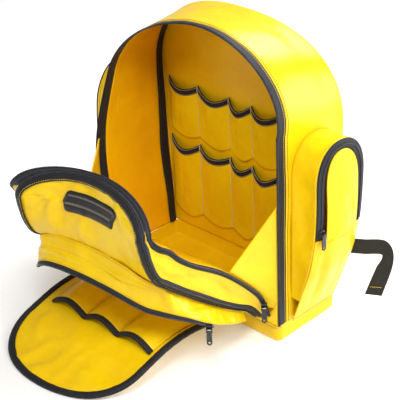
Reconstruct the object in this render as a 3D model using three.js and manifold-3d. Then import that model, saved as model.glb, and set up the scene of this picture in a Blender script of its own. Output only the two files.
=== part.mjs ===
// Tool backpack in coated cloth, standing with its main lid pulled forward and its organizer flap let down.
// Millimetres, X across the pack, -Y towards the opening, +Z up, origin at the middle of the base.
import * as THREE from "three";
import { mergeVertices } from "three/addons/utils/BufferGeometryUtils.js";
import Module from "manifold-3d";

const wasm = await Module();
wasm.setup();

// Main body
const FRONT_WIDTH = 338;
const FRONT_HEIGHT = 470;
const FRONT_SPRING = 340;
const FRONT_ROUNDNESS = 1.84;
const FRONT_APEX_SHIFT = 32;
const BACK_WIDTH = 364;
const BACK_FOOT_WIDTH = 340;
const BACK_HEIGHT = 448;
const BACK_SPRING = 315;
const BACK_ROUNDNESS = 2.35;
const BODY_DEPTH = 131;
const SLUMP_OUT = 20;
const SLUMP_FORWARD = 19;
const BOOT_HEIGHT = 28;
const BOOT_CORNER = 9;

// Cloth, tapes and clearances
const CLOTH = 2;
const TAPE = 1.4;
const SEAM_GAP = 0.5;
const BODY_ZIP_WIDTH = 17;
const SEAM_BINDING_WIDTH = 13;
const SEAM_BINDING_SETBACK = 3;

// Organizer rows on the inside of the back
const POCKET_BULGE = 9;
const POCKET_DROOP = 12;
const UPPER_ROW_TOP = 293;
const UPPER_ROW_FOOT = 205;
const LOWER_ROW_TOP = 190;
const LOWER_ROW_FOOT = 62;
const ROW_HALF_WIDTH = 164;
const ROW_BINDING_WIDTH = 10;

// Side pockets
const POCKET_MIDDLE = 9;
const POCKET_WIDTH = 94;
const POCKET_HEIGHT = 328;
const POCKET_SPRING = 262;
const POCKET_ROUNDNESS = 2.2;
const POCKET_FOOT = 29;
const POCKET_DEPTH = 46;
const POCKET_FULL_DEPTH_HEIGHT = 200;
const POCKET_CROWN = 11;
const POCKET_ZIP_WIDTH = 15;
const POCKET_ZIP_FOOT = 182;

// Lid: the middle compartment, pulled forward on its two stays
const LID_BACK_WIDTH = 314;
const LID_FRONT_WIDTH = 272;
const LID_SHIFT = 15;
const LID_REACH = 218;
const LID_RISE = 264;
const LID_ARCH_RISE = 45;
const LID_ROUNDNESS = 2.1;
const LID_LEAN_DEGREES = 9;
const LID_HOLLOW = 28;
const LID_TWIST = 10;
const LID_BACK_PINCH = 24;
const LID_FRONT_PINCH = 18;
const LID_ZIP_WIDTH = 9;
const MIDDLE_ZIP_WIDTH = 10.5;
const LID_BACK_INSET = 6;
const LID_FRONT_INSET = 2.4;
const STAY_TOP = 232;
const STAY_FOOT = 58;
const STAY_CLIMB = 0.36;
const STAY_LID_FOOT = 0.04;
const STAY_SETBACK = 3;
const STAY_CLEARANCE = 2.1;
const STAY_LIFT = new THREE.Vector3(0, 2.6, 1.2);
const PATCH_WIDTH = 112;
const PATCH_THICKNESS = 2.2;
const PATCH_LEFT = -69;
const PATCH_LEAN = 12;
const PATCH_FOOT_SHARE = 0.11;
const PATCH_TOP_SHARE = 0.52;

// Organizer pocket below the lid, and its cover flap
const STRIP_WIDTH = 56;
const STRIP_ZIP_SHARE = 0.17;
const STRIP_CLEARANCE = 3.4;
const FLAP_WIDTH = 250;
const FLAP_LENGTH = 290;
const FLAP_ROUND = 92;
const FLAP_ROUNDNESS = 2.1;
const FLAP_HEIGHT = 49;
const FLAP_DRIFT = 16;
const FLAP_START = 79.2;
const FLAP_START_DRIFT = 18;
const FLAP_BINDING_WIDTH = 11;
const FLAP_BINDING_FOOT = 9;
const FLAP_BINDING_SEAT = 1.8;
const TOOL_POCKET_LENGTH = 150;
const TOOL_POCKET_CROWN = 13;
const TOOL_POCKET_COUNT = 3;
const TOOL_POCKET_MARGIN = 20;
const TOOL_POCKET_WIDTH = (FLAP_WIDTH - 2 * TOOL_POCKET_MARGIN) / TOOL_POCKET_COUNT;
const TOOL_BINDING_WIDTH = 8;
const TOOL_POCKET_FOOT = 12;
const TOOL_POCKET_OFFSET = 5;
const TOOL_FOOT_CROWN_SHARE = 0.2;

// Zip sliders and their pulls
const SLIDER_WIDTH = 9;
const SLIDER_LENGTH = 13;
const SLIDER_THICKNESS = 4;
const PULL_LENGTH = 25;
const PULL_WIDTH = 8;
const PULL_THICKNESS = 1.6;
const PULL_EYE_RADIUS = 2.3;
const PULL_PIN_RADIUS = 0.9;
const PULL_CLEARANCE = 0.35;
const LID_SLIDER_STANDOFF = 2;
const ORGANIZER_SLIDER_STANDOFF = 4.8;
const SLIDER_SEAT = 1.2;
const LID_SLIDER_WAY = 0.018;
const LID_SLIDER_TURN = 0.7;
const ORGANIZER_SLIDER_TURN = 0.7;
const STRIP_SLIDER_ALONG = 0.245;
const POCKET_SLIDER_HEIGHT = 192;

// Straps
const WEBBING_WIDTH = 25;
const WEBBING = 1.8;
const WAIST_STRAP_START = 150;
const WAIST_STRAP_OUT = 88;
const WAIST_STRAP_BACK = 36;
const WAIST_STRAP_HEADING = 0.5;
const WAIST_STRAP_HEIGHT = 112;
const HARNESS_WIDTH = 62;
const HARNESS_THICKNESS = 12;
const HARNESS_TOP = 398;
const HARNESS_FOOT = 74;
const HARNESS_BULGE = 52;
const HARNESS_SPREAD = 58;
const HARNESS_START = 46;
const HARNESS_SEAT = 6.3;

const finish = (color, roughness, metalness = 0) =>
  new THREE.MeshStandardMaterial({ color, roughness, metalness });
const yellowCloth = () => finish(0xf4cf08, 0.38);
const liningCloth = () => finish(0xe89a05, 0.5);
const zipTape = () => finish(0x2e3038, 0.7);
const binding = () => finish(0x17181b, 0.75);
const webbingCloth = () => finish(0x24241f, 0.85);
const patchRubber = () => finish(0x26262a, 0.6);
const zipMetal = () => finish(0x1c1d20, 0.4, 0.6);

const { lerp, clamp, degToRad } = THREE.MathUtils;
const pack = new THREE.Group();

function addMesh(name, geometry, material) {
  const mesh = new THREE.Mesh(geometry, material);
  mesh.name = name;
  pack.add(mesh);
  return mesh;
}

// Evenly spaced stops from one value to another.
function stops(from, to, count) {
  return Array.from({ length: count + 1 }, (_, step) => lerp(from, to, step / count));
}

// A closed solid between two grids of points with the same rows and columns.
function solidBetween(outer, inner) {
  const rows = outer.length;
  const columns = outer[0].length;
  const positions = [...outer, ...inner].flat().flatMap((point) => point.toArray());
  const at = (layer, row, column) => (layer * rows + row) * columns + column;
  const faces = [];
  const quad = (a, b, c, d) => faces.push(a, b, c, a, c, d);
  for (let row = 0; row < rows - 1; row += 1) {
    for (let column = 0; column < columns - 1; column += 1) {
      const [right, above] = [column + 1, row + 1];
      quad(at(0, row, column), at(0, row, right), at(0, above, right), at(0, above, column));
      quad(at(1, row, column), at(1, above, column), at(1, above, right), at(1, row, right));
    }
  }
  const lastRow = rows - 1;
  const lastColumn = columns - 1;
  for (let column = 0; column < lastColumn; column += 1) {
    quad(at(0, 0, column), at(1, 0, column), at(1, 0, column + 1), at(0, 0, column + 1));
    const right = column + 1;
    quad(at(0, lastRow, column), at(0, lastRow, right), at(1, lastRow, right), at(1, lastRow, column));
  }
  for (let row = 0; row < lastRow; row += 1) {
    quad(at(0, row, 0), at(0, row + 1, 0), at(1, row + 1, 0), at(1, row, 0));
    const above = row + 1;
    quad(at(0, row, lastColumn), at(1, row, lastColumn), at(1, above, lastColumn), at(0, above, lastColumn));
  }
  const corner = (index) => new THREE.Vector3().fromArray(positions, 3 * index);
  let volume = 0;
  for (let index = 0; index < faces.length; index += 3) {
    volume += corner(faces[index]).dot(corner(faces[index + 1]).cross(corner(faces[index + 2])));
  }
  const geometry = new THREE.BufferGeometry();
  geometry.setAttribute("position", new THREE.Float32BufferAttribute(positions, 3));
  geometry.setIndex(volume < 0 ? faces.reverse() : faces);
  geometry.computeVertexNormals();
  return geometry;
}

const gridOf = (point, across, along) => along.map((v) => across.map((u) => point(u, v)));

// The direction square to a surface, from small steps on each side of a point.
function squareTo(point, u, v, across, along) {
  const step = 1e-3;
  const [uLow, uHigh] = [Math.max(u - step, across[0]), Math.min(u + step, across.at(-1))];
  const [vLow, vHigh] = [Math.max(v - step, along[0]), Math.min(v + step, along.at(-1))];
  const alongU = point(uHigh, v).sub(point(uLow, v));
  const alongV = point(u, vHigh).sub(point(u, vLow));
  return alongU.cross(alongV).normalize();
}

// Cloth that follows a surface, between two distances measured square to it.
function clothOn(point, across, along, near, far) {
  const moved = (u, v, distance) => point(u, v).addScaledVector(squareTo(point, u, v, across, along), distance);
  const layer = (distance) => gridOf((u, v) => moved(u, v, distance), across, along);
  return solidBetween(layer(near), layer(far));
}

// Reads one column of a table at a share of the way, with a smooth curve through its rows.
function follow(table, column, share) {
  let index = 0;
  while (index < table.length - 2 && share > table[index + 1].along) index += 1;
  const left = table[index];
  const right = table[index + 1];
  const before = table[Math.max(index - 1, 0)];
  const after = table[Math.min(index + 2, table.length - 1)];
  const span = right.along - left.along;
  const leftSlope = ((right[column] - before[column]) / (right.along - before.along)) * span;
  const rightSlope = ((after[column] - left[column]) / (after.along - left.along)) * span;
  const f = clamp((share - left.along) / span, 0, 1);
  const rest = 1 - f;
  return (
    rest * rest * (1 + 2 * f) * left[column] +
    f * f * (1 + 2 * rest) * right[column] +
    f * rest * (rest * leftSlope - f * rightSlope)
  );
}

const power = (value, roundness) => Math.sign(value) * Math.abs(value) ** (2 / roundness);
const archTop = (across, roundness) => Math.max(1 - Math.abs(across) ** roundness, 0) ** (1 / roundness);

// Outline of an arched panel. The way round runs up the +X leg, over the arch and down the -X leg.
const LEG_WAY = 0.25;
const LEG_STEPS = 6;
const ARCH_STEPS = 18;
const frontArch = {
  half: FRONT_WIDTH / 2,
  footHalf: FRONT_WIDTH / 2,
  foot: BOOT_HEIGHT + SEAM_GAP,
  spring: FRONT_SPRING,
  top: FRONT_HEIGHT,
  roundness: FRONT_ROUNDNESS,
  apexShift: FRONT_APEX_SHIFT,
};
const backArch = {
  half: BACK_WIDTH / 2,
  footHalf: BACK_FOOT_WIDTH / 2,
  foot: BOOT_HEIGHT + SEAM_GAP,
  spring: BACK_SPRING,
  top: BACK_HEIGHT,
  roundness: BACK_ROUNDNESS,
  apexShift: 0,
};
const archWays = (legSteps = LEG_STEPS, archSteps = ARCH_STEPS) => [
  ...stops(0, LEG_WAY, legSteps),
  ...stops(LEG_WAY, 1 - LEG_WAY, archSteps).slice(1, -1),
  ...stops(1 - LEG_WAY, 1, legSteps),
];

function archOutline(arch, way) {
  const legShare = Math.min(way, 1 - way) / LEG_WAY;
  if (legShare < 1) {
    const half = lerp(arch.footHalf, arch.half, legShare);
    return new THREE.Vector2(way < 0.5 ? half : -half, lerp(arch.foot, arch.spring, legShare));
  }
  const angle = (Math.PI * (way - LEG_WAY)) / (1 - 2 * LEG_WAY);
  return new THREE.Vector2(
    arch.half * power(Math.cos(angle), arch.roundness) + arch.apexShift * Math.sin(angle),
    arch.spring + (arch.top - arch.spring) * power(Math.sin(angle), arch.roundness),
  );
}

function insetOutline(arch, way, inset) {
  const step = 1e-3;
  const [low, high] = [Math.max(way - step, 0), Math.min(way + step, 1)];
  const heading = archOutline(arch, high).sub(archOutline(arch, low)).normalize();
  return archOutline(arch, way).add(new THREE.Vector2(-heading.y, heading.x).multiplyScalar(inset));
}

// The body's wall: the way round the arch, the share of the depth from front to back, the inset from outside.
function bodyWall(way, depthShare, inset) {
  const front = insetOutline(frontArch, way, inset);
  const back = insetOutline(backArch, way, inset);
  const legShare = clamp((1 - way) / LEG_WAY, 0, 1);
  const slump = Math.sin(Math.PI * legShare) * (1 - depthShare);
  return new THREE.Vector3(
    lerp(front.x, back.x, depthShare) - SLUMP_OUT * slump,
    (depthShare - 0.5) * BODY_DEPTH - SLUMP_FORWARD * slump,
    lerp(front.y, back.y, depthShare),
  );
}

function wallBand(fromDepth, toDepth, fromInset, toInset, depthSteps, ways) {
  const depths = stops(fromDepth / BODY_DEPTH, toDepth / BODY_DEPTH, depthSteps);
  return solidBetween(
    gridOf((way, depth) => bodyWall(way, depth, fromInset), ways, depths),
    gridOf((way, depth) => bodyWall(way, depth, toInset), ways, depths),
  );
}

addMesh("side_wall", wallBand(BODY_ZIP_WIDTH + SEAM_GAP, BODY_DEPTH, 0, CLOTH, 3, archWays()), yellowCloth());
addMesh("body_zip", wallBand(0, BODY_ZIP_WIDTH, 0, TAPE, 1, archWays()), zipTape());
addMesh(
  "back_seam_binding",
  wallBand(
    BODY_DEPTH - CLOTH - SEAM_BINDING_SETBACK - SEAM_BINDING_WIDTH,
    BODY_DEPTH - CLOTH - SEAM_BINDING_SETBACK,
    CLOTH + 2 * SEAM_GAP,
    CLOTH + 2 * SEAM_GAP + TAPE,
    1,
    archWays(),
  ),
  binding(),
);

// Back panel: upright columns from the boot to the arch, inside the wall.
function backPanelPoint(way, climb) {
  const top = insetOutline(backArch, way, CLOTH + SEAM_GAP);
  const footX = (top.x / backArch.half) * backArch.footHalf;
  return new THREE.Vector3(lerp(footX, top.x, climb), BODY_DEPTH / 2, lerp(backArch.foot, top.y, climb));
}
const backColumns = stops(LEG_WAY, 1 - LEG_WAY, ARCH_STEPS);
addMesh("back_panel", clothOn(backPanelPoint, backColumns, stops(0, 1, 4), 0, -CLOTH), yellowCloth());

// Boot: a shallow tray with a floor and four low walls.
function roundedBlock(halfWidth, halfDepth, corner, bottom, top) {
  const outline = new THREE.Shape();
  outline.moveTo(halfWidth, corner - halfDepth);
  outline.lineTo(halfWidth, halfDepth - corner);
  outline.absarc(halfWidth - corner, halfDepth - corner, corner, 0, Math.PI / 2, false);
  outline.absarc(corner - halfWidth, halfDepth - corner, corner, Math.PI / 2, Math.PI, false);
  outline.absarc(corner - halfWidth, corner - halfDepth, corner, Math.PI, 1.5 * Math.PI, false);
  outline.absarc(halfWidth - corner, corner - halfDepth, corner, 1.5 * Math.PI, 2 * Math.PI, false);
  const settings = { depth: top - bottom, bevelEnabled: false, curveSegments: 4 };
  return new THREE.ExtrudeGeometry(outline, settings).translate(0, 0, bottom);
}

function manifoldOf(geometry) {
  const bare = geometry.clone();
  bare.deleteAttribute("normal");
  bare.deleteAttribute("uv");
  const merged = mergeVertices(bare, 1e-4);
  return new wasm.Manifold(
    new wasm.Mesh({
      numProp: 3,
      vertProperties: Float32Array.from(merged.attributes.position.array),
      triVerts: Uint32Array.from(merged.index.array),
    }),
  );
}

function geometryOf(solid) {
  const mesh = solid.getMesh();
  const geometry = new THREE.BufferGeometry();
  geometry.setAttribute("position", new THREE.BufferAttribute(Float32Array.from(mesh.vertProperties), 3));
  geometry.setIndex(new THREE.BufferAttribute(Uint32Array.from(mesh.triVerts), 1));
  geometry.computeVertexNormals();
  return geometry;
}

const bootHalfWidth = FRONT_WIDTH / 2;
const bootHalfDepth = BODY_DEPTH / 2;
const boot = manifoldOf(roundedBlock(bootHalfWidth, bootHalfDepth, BOOT_CORNER, 0, BOOT_HEIGHT)).subtract(
  manifoldOf(
    roundedBlock(bootHalfWidth - CLOTH, bootHalfDepth - CLOTH, BOOT_CORNER - CLOTH, CLOTH, BOOT_HEIGHT + CLOTH),
  ),
);
addMesh("boot", geometryOf(boot), yellowCloth());

// Organizer rows: pockets that stand out between their stitched dividers, with a drooping bound top.
const rowDividers = [
  { along: 0, across: -1 },
  { along: 1, across: -0.62 },
  { along: 2, across: -0.22 },
  { along: 3, across: 0.06 },
  { along: 4, across: 0.38 },
  { along: 5, across: 0.7 },
  { along: 6, across: 1 },
];
const rowStops = stops(0, rowDividers.length - 1, 3 * (rowDividers.length - 1));
const insideBack = BODY_DEPTH / 2 - CLOTH - SEAM_GAP;

function rowPoint(place, height, bulge) {
  const pocket = Math.min(Math.floor(place), rowDividers.length - 2);
  const share = place - pocket;
  const across = lerp(rowDividers[pocket].across, rowDividers[pocket + 1].across, share);
  const swell = Math.sin(Math.PI * share);
  return new THREE.Vector3(across * ROW_HALF_WIDTH, insideBack - bulge * swell, height - POCKET_DROOP * swell);
}

function addRow(name, foot, top) {
  const bindingFoot = top - ROW_BINDING_WIDTH;
  const panel = (place, climb) => {
    const low = rowPoint(place, foot, 0);
    const high = rowPoint(place, bindingFoot - SEAM_GAP, POCKET_BULGE);
    return low.lerp(high, climb);
  };
  const bound = (place, climb) => rowPoint(place, lerp(bindingFoot, top, climb), POCKET_BULGE);
  addMesh(`${name}_row`, clothOn(panel, rowStops, [0, 0.5, 1], 0, CLOTH), yellowCloth());
  addMesh(`${name}_row_binding`, clothOn(bound, rowStops, [0, 1], 0, CLOTH), binding());
}
addRow("upper", UPPER_ROW_FOOT, UPPER_ROW_TOP);
addRow("lower", LOWER_ROW_FOOT, LOWER_ROW_TOP);

// Zip slider with two ears, and a pull whose eye turns on the pin between them.
const earHeight = PULL_EYE_RADIUS + PULL_CLEARANCE;
const earThickness = 1.4;
const earRoot = 0.5;
const eyeLength = SLIDER_WIDTH - 2 * (earThickness + PULL_CLEARANCE);
const pinAlongX = (radius, length, sides) =>
  new THREE.CylinderGeometry(radius, radius, length, sides).rotateZ(Math.PI / 2);

function sliderSolid() {
  const base = new THREE.BoxGeometry(SLIDER_WIDTH, SLIDER_THICKNESS, SLIDER_LENGTH);
  base.translate(0, -SLIDER_THICKNESS / 2, 0);
  const pinHeight = -SLIDER_THICKNESS - earHeight;
  const ear = (side) => {
    const reach = earHeight + PULL_PIN_RADIUS + 2 * earRoot;
    const block = new THREE.BoxGeometry(earThickness, reach, 2 * PULL_EYE_RADIUS);
    return block.translate((side * (SLIDER_WIDTH - earThickness)) / 2, earRoot - SLIDER_THICKNESS - reach / 2, 0);
  };
  const pin = pinAlongX(PULL_PIN_RADIUS, SLIDER_WIDTH - earThickness, 10).translate(0, pinHeight, 0);
  return manifoldOf(base).add(manifoldOf(ear(1))).add(manifoldOf(ear(-1))).add(manifoldOf(pin));
}

function pullSolid() {
  const hole = PULL_WIDTH / 4;
  const plate = new THREE.Shape();
  plate.moveTo(-eyeLength / 2, 0);
  plate.lineTo(-PULL_WIDTH / 2, -PULL_LENGTH / 3);
  plate.lineTo(-PULL_WIDTH / 2, PULL_WIDTH / 2 - PULL_LENGTH);
  plate.absarc(0, PULL_WIDTH / 2 - PULL_LENGTH, PULL_WIDTH / 2, Math.PI, 2 * Math.PI, false);
  plate.lineTo(PULL_WIDTH / 2, -PULL_LENGTH / 3);
  plate.lineTo(eyeLength / 2, 0);
  const opening = new THREE.Path();
  opening.absarc(0, PULL_WIDTH / 2 - PULL_LENGTH, hole, 0, 2 * Math.PI, true);
  plate.holes.push(opening);
  const settings = { depth: PULL_THICKNESS, bevelEnabled: false, curveSegments: 8 };
  const blade = new THREE.ExtrudeGeometry(plate, settings);
  blade.translate(0, 0, -PULL_THICKNESS / 2).rotateX(Math.PI / 2);
  const eye = pinAlongX(PULL_EYE_RADIUS, eyeLength, 12);
  const bore = pinAlongX(PULL_PIN_RADIUS + PULL_CLEARANCE, 2 * SLIDER_WIDTH, 12);
  return manifoldOf(blade).add(manifoldOf(eye)).subtract(manifoldOf(bore));
}

// A slider whose flat base lies at a point, with its pull hanging straight down from the pin.
function addSlider(name, place, facing) {
  const slider = addMesh(`${name}_slider`, geometryOf(sliderSolid()), zipMetal());
  slider.position.copy(place);
  slider.rotation.z = facing;
  const pull = addMesh(`${name}_pull`, geometryOf(pullSolid()), zipMetal());
  pull.position.copy(place).add(
    new THREE.Vector3(0, -SLIDER_THICKNESS - earHeight, 0).applyAxisAngle(new THREE.Vector3(0, 0, 1), facing),
  );
  pull.rotation.z = facing;
}

// Side pockets: a gusset that stands out from the wall, a zip round its rim and a crowned face.
const pocketArch = {
  half: POCKET_WIDTH / 2,
  footHalf: POCKET_WIDTH / 2,
  foot: POCKET_FOOT,
  spring: POCKET_SPRING,
  top: POCKET_HEIGHT,
  roundness: POCKET_ROUNDNESS,
  apexShift: 0,
};
const pocketDepths = [
  { along: 0, depth: 0.1 },
  { along: 0.25, depth: 0.4 },
  { along: 0.6, depth: 0.8 },
  { along: 1, depth: 1 },
  { along: 1.76, depth: 1 },
];

// How far a side wall stands from the middle at a place along the depth and a height.
function wallReach(side, y, height) {
  const depthShare = clamp(y / BODY_DEPTH + 0.5, 0, 1);
  const climb = Math.min(height, FRONT_SPRING) - frontArch.foot;
  const legShare = clamp(climb / (FRONT_SPRING - frontArch.foot), 0, 1);
  const backShare = clamp((height - backArch.foot) / (BACK_SPRING - backArch.foot), 0, 1);
  const slump = side < 0 ? SLUMP_OUT * Math.sin(Math.PI * legShare) * (1 - depthShare) : 0;
  return lerp(frontArch.half, lerp(backArch.footHalf, backArch.half, backShare), depthShare) + slump;
}

// A pocket point: the way round its outline, the inset from the rim, the share of the depth out from the wall.
function pocketPoint(side, way, inset, outShare, extra = 0) {
  const rim = insetOutline(pocketArch, way, inset);
  const y = POCKET_MIDDLE + rim.x;
  return pocketPlace(side, y, rim.y, outShare, extra);
}

function pocketPlace(side, y, height, outShare, extra = 0) {
  const rise = (height - POCKET_FOOT) / (POCKET_FULL_DEPTH_HEIGHT - POCKET_FOOT);
  const depth = POCKET_DEPTH * follow(pocketDepths, "depth", rise);
  const reach = wallReach(side, y, height) + SEAM_GAP + outShare * depth + extra;
  return new THREE.Vector3(side * reach, y, height);
}

const pocketWays = archWays(5, 12);
const zipWay = (LEG_WAY * (POCKET_ZIP_FOOT - POCKET_FOOT)) / (POCKET_SPRING - POCKET_FOOT);
const insideZip = pocketWays.filter((way) => way > zipWay + 0.01 && way < 0.99 - zipWay);
const pocketZipWays = [zipWay, ...insideZip, 1 - zipWay];
const gussetWays = pocketWays.filter((way) => way > 0.04 && way < 0.96);

function addSidePocket(name, side) {
  const gusset = (way, out) => {
    const root = pocketPoint(side, way, 0, 0);
    const rim = pocketPoint(side, way, 0, 1, -CLOTH - 3 * SEAM_GAP);
    return root.lerp(rim, out);
  };
  const rim = (way, share) => pocketPoint(side, way, share * POCKET_ZIP_WIDTH, 1);
  addMesh(`${name}_pocket_gusset`, clothOn(gusset, gussetWays, [0, 0.5, 1], 0, side * -CLOTH), yellowCloth());
  addMesh(`${name}_pocket_zip`, clothOn(rim, pocketZipWays, [0, 1], 0, side * -TAPE), zipTape());
  addMesh(`${name}_pocket_face`, pocketFace(side), yellowCloth());
}

// The face fills the rim below the zip and lies inside the zip above it, with a crown that grows to the middle.
function pocketFace(side) {
  const columns = stops(LEG_WAY, 1 - LEG_WAY, 12);
  const zipInset = POCKET_ZIP_WIDTH + SEAM_GAP;
  const lower = [0, 0.3, 0.6, 1].map((share) => lerp(POCKET_FOOT, POCKET_ZIP_FOOT - 3 * SEAM_GAP, share));
  const rows = [
    ...lower.map((height) => ({ height, climb: 0, inset: 0 })),
    ...[0, 0.35, 0.7, 1].map((climb) => ({ height: POCKET_ZIP_FOOT - 2 * SEAM_GAP, climb, inset: zipInset })),
  ];
  const point = (way, row) => {
    const { height, climb, inset } = rows[row];
    const top = insetOutline(pocketArch, way, inset);
    const across = top.x / (pocketArch.half - inset);
    const level = climb ? lerp(height, top.y, climb) : height;
    const rise = clamp((level - POCKET_FOOT) / (POCKET_HEIGHT - POCKET_FOOT), 0, 1);
    const open = (1 - across * across) * Math.sin(Math.PI * rise);
    return pocketPlace(side, POCKET_MIDDLE + top.x, level, 1, POCKET_CROWN * open);
  };
  const moved = (way, row, drop) => point(way, row).add(new THREE.Vector3(side * drop, 0, 0));
  const layer = (drop) => rows.map((_, row) => columns.map((way) => moved(way, row, drop)));
  return solidBetween(layer(0), layer(-CLOTH));
}

addSidePocket("right", 1);
addSidePocket("left", -1);

// Lid: profiles of its back and front edges, as shares of its reach forward and its rise.
const lidProfile = [
  { along: 0.0, backOut: 0.02, backUp: 0.174, frontOut: 0.055, frontUp: 0.152, hollow: 0.0 },
  { along: 0.12, backOut: 0.085, backUp: 0.318, frontOut: 0.14, frontUp: 0.22, hollow: 0.0 },
  { along: 0.24, backOut: 0.213, backUp: 0.439, frontOut: 0.236, frontUp: 0.261, hollow: 0.0 },
  { along: 0.36, backOut: 0.368, backUp: 0.561, frontOut: 0.378, frontUp: 0.337, hollow: 0.02 },
  { along: 0.46, backOut: 0.469, backUp: 0.629, frontOut: 0.538, frontUp: 0.432, hollow: 0.05 },
  { along: 0.58, backOut: 0.66, backUp: 0.731, frontOut: 0.698, frontUp: 0.534, hollow: 0.08 },
  { along: 0.7, backOut: 0.765, backUp: 0.803, frontOut: 0.844, frontUp: 0.629, hollow: 0.12 },
  { along: 0.76, backOut: 0.82, backUp: 0.856, frontOut: 0.908, frontUp: 0.674, hollow: 0.2 },
  { along: 0.84, backOut: 0.87, backUp: 0.882, frontOut: 0.965, frontUp: 0.773, hollow: 0.5 },
  { along: 0.92, backOut: 0.9, backUp: 0.905, frontOut: 0.992, frontUp: 0.86, hollow: 0.8 },
  { along: 1.0, backOut: 0.915, backUp: 0.925, frontOut: 1.01, frontUp: 0.94, hollow: 1.0 },
];
const lidLean = degToRad(LID_LEAN_DEGREES);

// A lid point: its face, the place across from -1 to 1, and the climb, 1 where the arch springs and 2 at its top.
function lidPoint(face, across, climb, inset = 0) {
  const leg = Math.min(climb, 1);
  const over = Math.max(climb - 1, 0) * LID_ARCH_RISE;
  const half = (face === "back" ? LID_BACK_WIDTH : LID_FRONT_WIDTH) / 2 - inset;
  const hollow = LID_HOLLOW * follow(lidProfile, "hollow", leg) * (1 - across * across);
  const pinch = face === "back" ? LID_BACK_PINCH * Math.max(across, 0) : LID_FRONT_PINCH * Math.min(across, 0);
  return new THREE.Vector3(
    across * half - LID_SHIFT * leg - pinch * leg ** 3,
    hollow + over * Math.sin(lidLean) - BODY_DEPTH / 2 - LID_REACH * follow(lidProfile, `${face}Out`, leg),
    LID_RISE * follow(lidProfile, `${face}Up`, leg) + over * Math.cos(lidLean) + LID_TWIST * across * leg,
  );
}

// The lid's outline from the +X hinge end, over its arch, to the -X hinge end.
function lidEdge(face, way) {
  if (way < LEG_WAY || way > 1 - LEG_WAY) {
    return lidPoint(face, way < 0.5 ? 1 : -1, Math.min(way, 1 - way) / LEG_WAY);
  }
  const angle = (Math.PI * (way - LEG_WAY)) / (1 - 2 * LEG_WAY);
  const rise = power(Math.sin(angle), LID_ROUNDNESS);
  return lidPoint(face, power(Math.cos(angle), LID_ROUNDNESS), 1 + rise);
}

// A point on the lid's side, at a distance from its back edge or, if negative, from its front edge.
function lidSide(way, distance) {
  const back = lidEdge("back", way);
  const front = lidEdge("front", way);
  const depth = back.distanceTo(front);
  return back.lerp(front, (distance < 0 ? depth + distance : distance) / depth);
}

const lidWays = archWays(9, 14);
const lidBand = (near, far) => (way, share) => lidSide(way, lerp(near, far, share));
addMesh("lid_zip", clothOn(lidBand(0, LID_ZIP_WIDTH), lidWays, [0, 1], 0, -TAPE), zipTape());
addMesh("middle_zip", clothOn(lidBand(-MIDDLE_ZIP_WIDTH, -0.01), lidWays, [0, 1], 0, -TAPE), zipTape());

function addLidGusset(name, ways) {
  const gusset = (way, share) => {
    const back = lidSide(way, LID_ZIP_WIDTH + SEAM_GAP);
    const front = lidSide(way, -MIDDLE_ZIP_WIDTH - SEAM_GAP);
    return back.lerp(front, share);
  };
  addMesh(name, clothOn(gusset, ways, [0, 0.5, 1], 0, -CLOTH), yellowCloth());
}
const shoulder = lidWays.filter((way) => way > 0.02 && way <= LEG_WAY + 0.001);
addLidGusset("right_lid_gusset", shoulder);
addLidGusset("left_lid_gusset", shoulder.map((way) => 1 - way).reverse());

// Lid panels, whose columns share their lower rows and then fan out to the arch.
const lidColumns = stops(0, 1, 14).map((share) => Math.sin(Math.PI * (share - 0.5)));
const sharedClimb = 0.84;
const lidRows = [...lidProfile.map((row) => row.along).filter((climb) => climb <= sharedClimb), 1, 1.5, 2];

function lidPanelPoint(face, across, row) {
  const inset = face === "back" ? LID_BACK_INSET : LID_FRONT_INSET;
  const top = 1 + archTop(across, LID_ROUNDNESS) - inset / LID_ARCH_RISE;
  const fanned = lerp(sharedClimb, top, (row - sharedClimb) / (2 - sharedClimb));
  return lidPoint(face, across, row <= sharedClimb ? row : fanned, inset);
}
const lidPanel = (face) => (across, row) => lidPanelPoint(face, across, row);
addMesh("lid_back", clothOn(lidPanel("back"), lidColumns, lidRows, -CLOTH / 2, CLOTH / 2), liningCloth());
addMesh("lid_front", clothOn(lidPanel("front"), lidColumns, lidRows, -CLOTH / 2, CLOTH / 2), yellowCloth());

// Stays: cloth triangles from the body's zip edge to the lid's back edge, one on each side.
function addStay(name, side) {
  const bodyFoot = lerp(0, LEG_WAY, (STAY_FOOT - frontArch.foot) / (FRONT_SPRING - frontArch.foot));
  const bodyTop = lerp(0, LEG_WAY, (STAY_TOP - frontArch.foot) / (FRONT_SPRING - frontArch.foot));
  const onBody = (reach) => {
    const way = lerp(bodyFoot, bodyTop, reach);
    return bodyWall(side > 0 ? way : 1 - way, STAY_SETBACK / BODY_DEPTH, CLOTH + STAY_CLEARANCE);
  };
  const onLid = (reach) => {
    const climb = lerp(STAY_LID_FOOT, STAY_CLIMB, reach);
    return lidPoint("back", side, climb, LID_BACK_INSET).add(STAY_LIFT);
  };
  const point = (reach, turn) => onBody(reach).lerp(onLid(reach), turn);
  addMesh(name, clothOn(point, stops(0, 1, 5), stops(0, 1, 4), 0, side * CLOTH), yellowCloth());
}
addStay("right_stay", 1);
addStay("left_stay", -1);

// Bare patch on the lid's front.
const patchRow = (height) => lerp(sharedClimb, 2, height);
const onLidFront = (x, height) => {
  const leaning = PATCH_LEAN * (height - PATCH_FOOT_SHARE) / (PATCH_TOP_SHARE - PATCH_FOOT_SHARE);
  const across = (x + leaning + LID_SHIFT) / (LID_FRONT_WIDTH / 2);
  return lidPanelPoint("front", across, patchRow(height));
};
const patchAcross = stops(PATCH_LEFT, PATCH_LEFT + PATCH_WIDTH, 9);
const patchGap = CLOTH / 2 + 2 * SEAM_GAP;
const patchAlong = stops(PATCH_FOOT_SHARE, PATCH_TOP_SHARE, 5);
const patchPlate = clothOn(onLidFront, patchAcross, patchAlong, patchGap, patchGap + PATCH_THICKNESS);
addMesh("patch", patchPlate, patchRubber());

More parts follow.
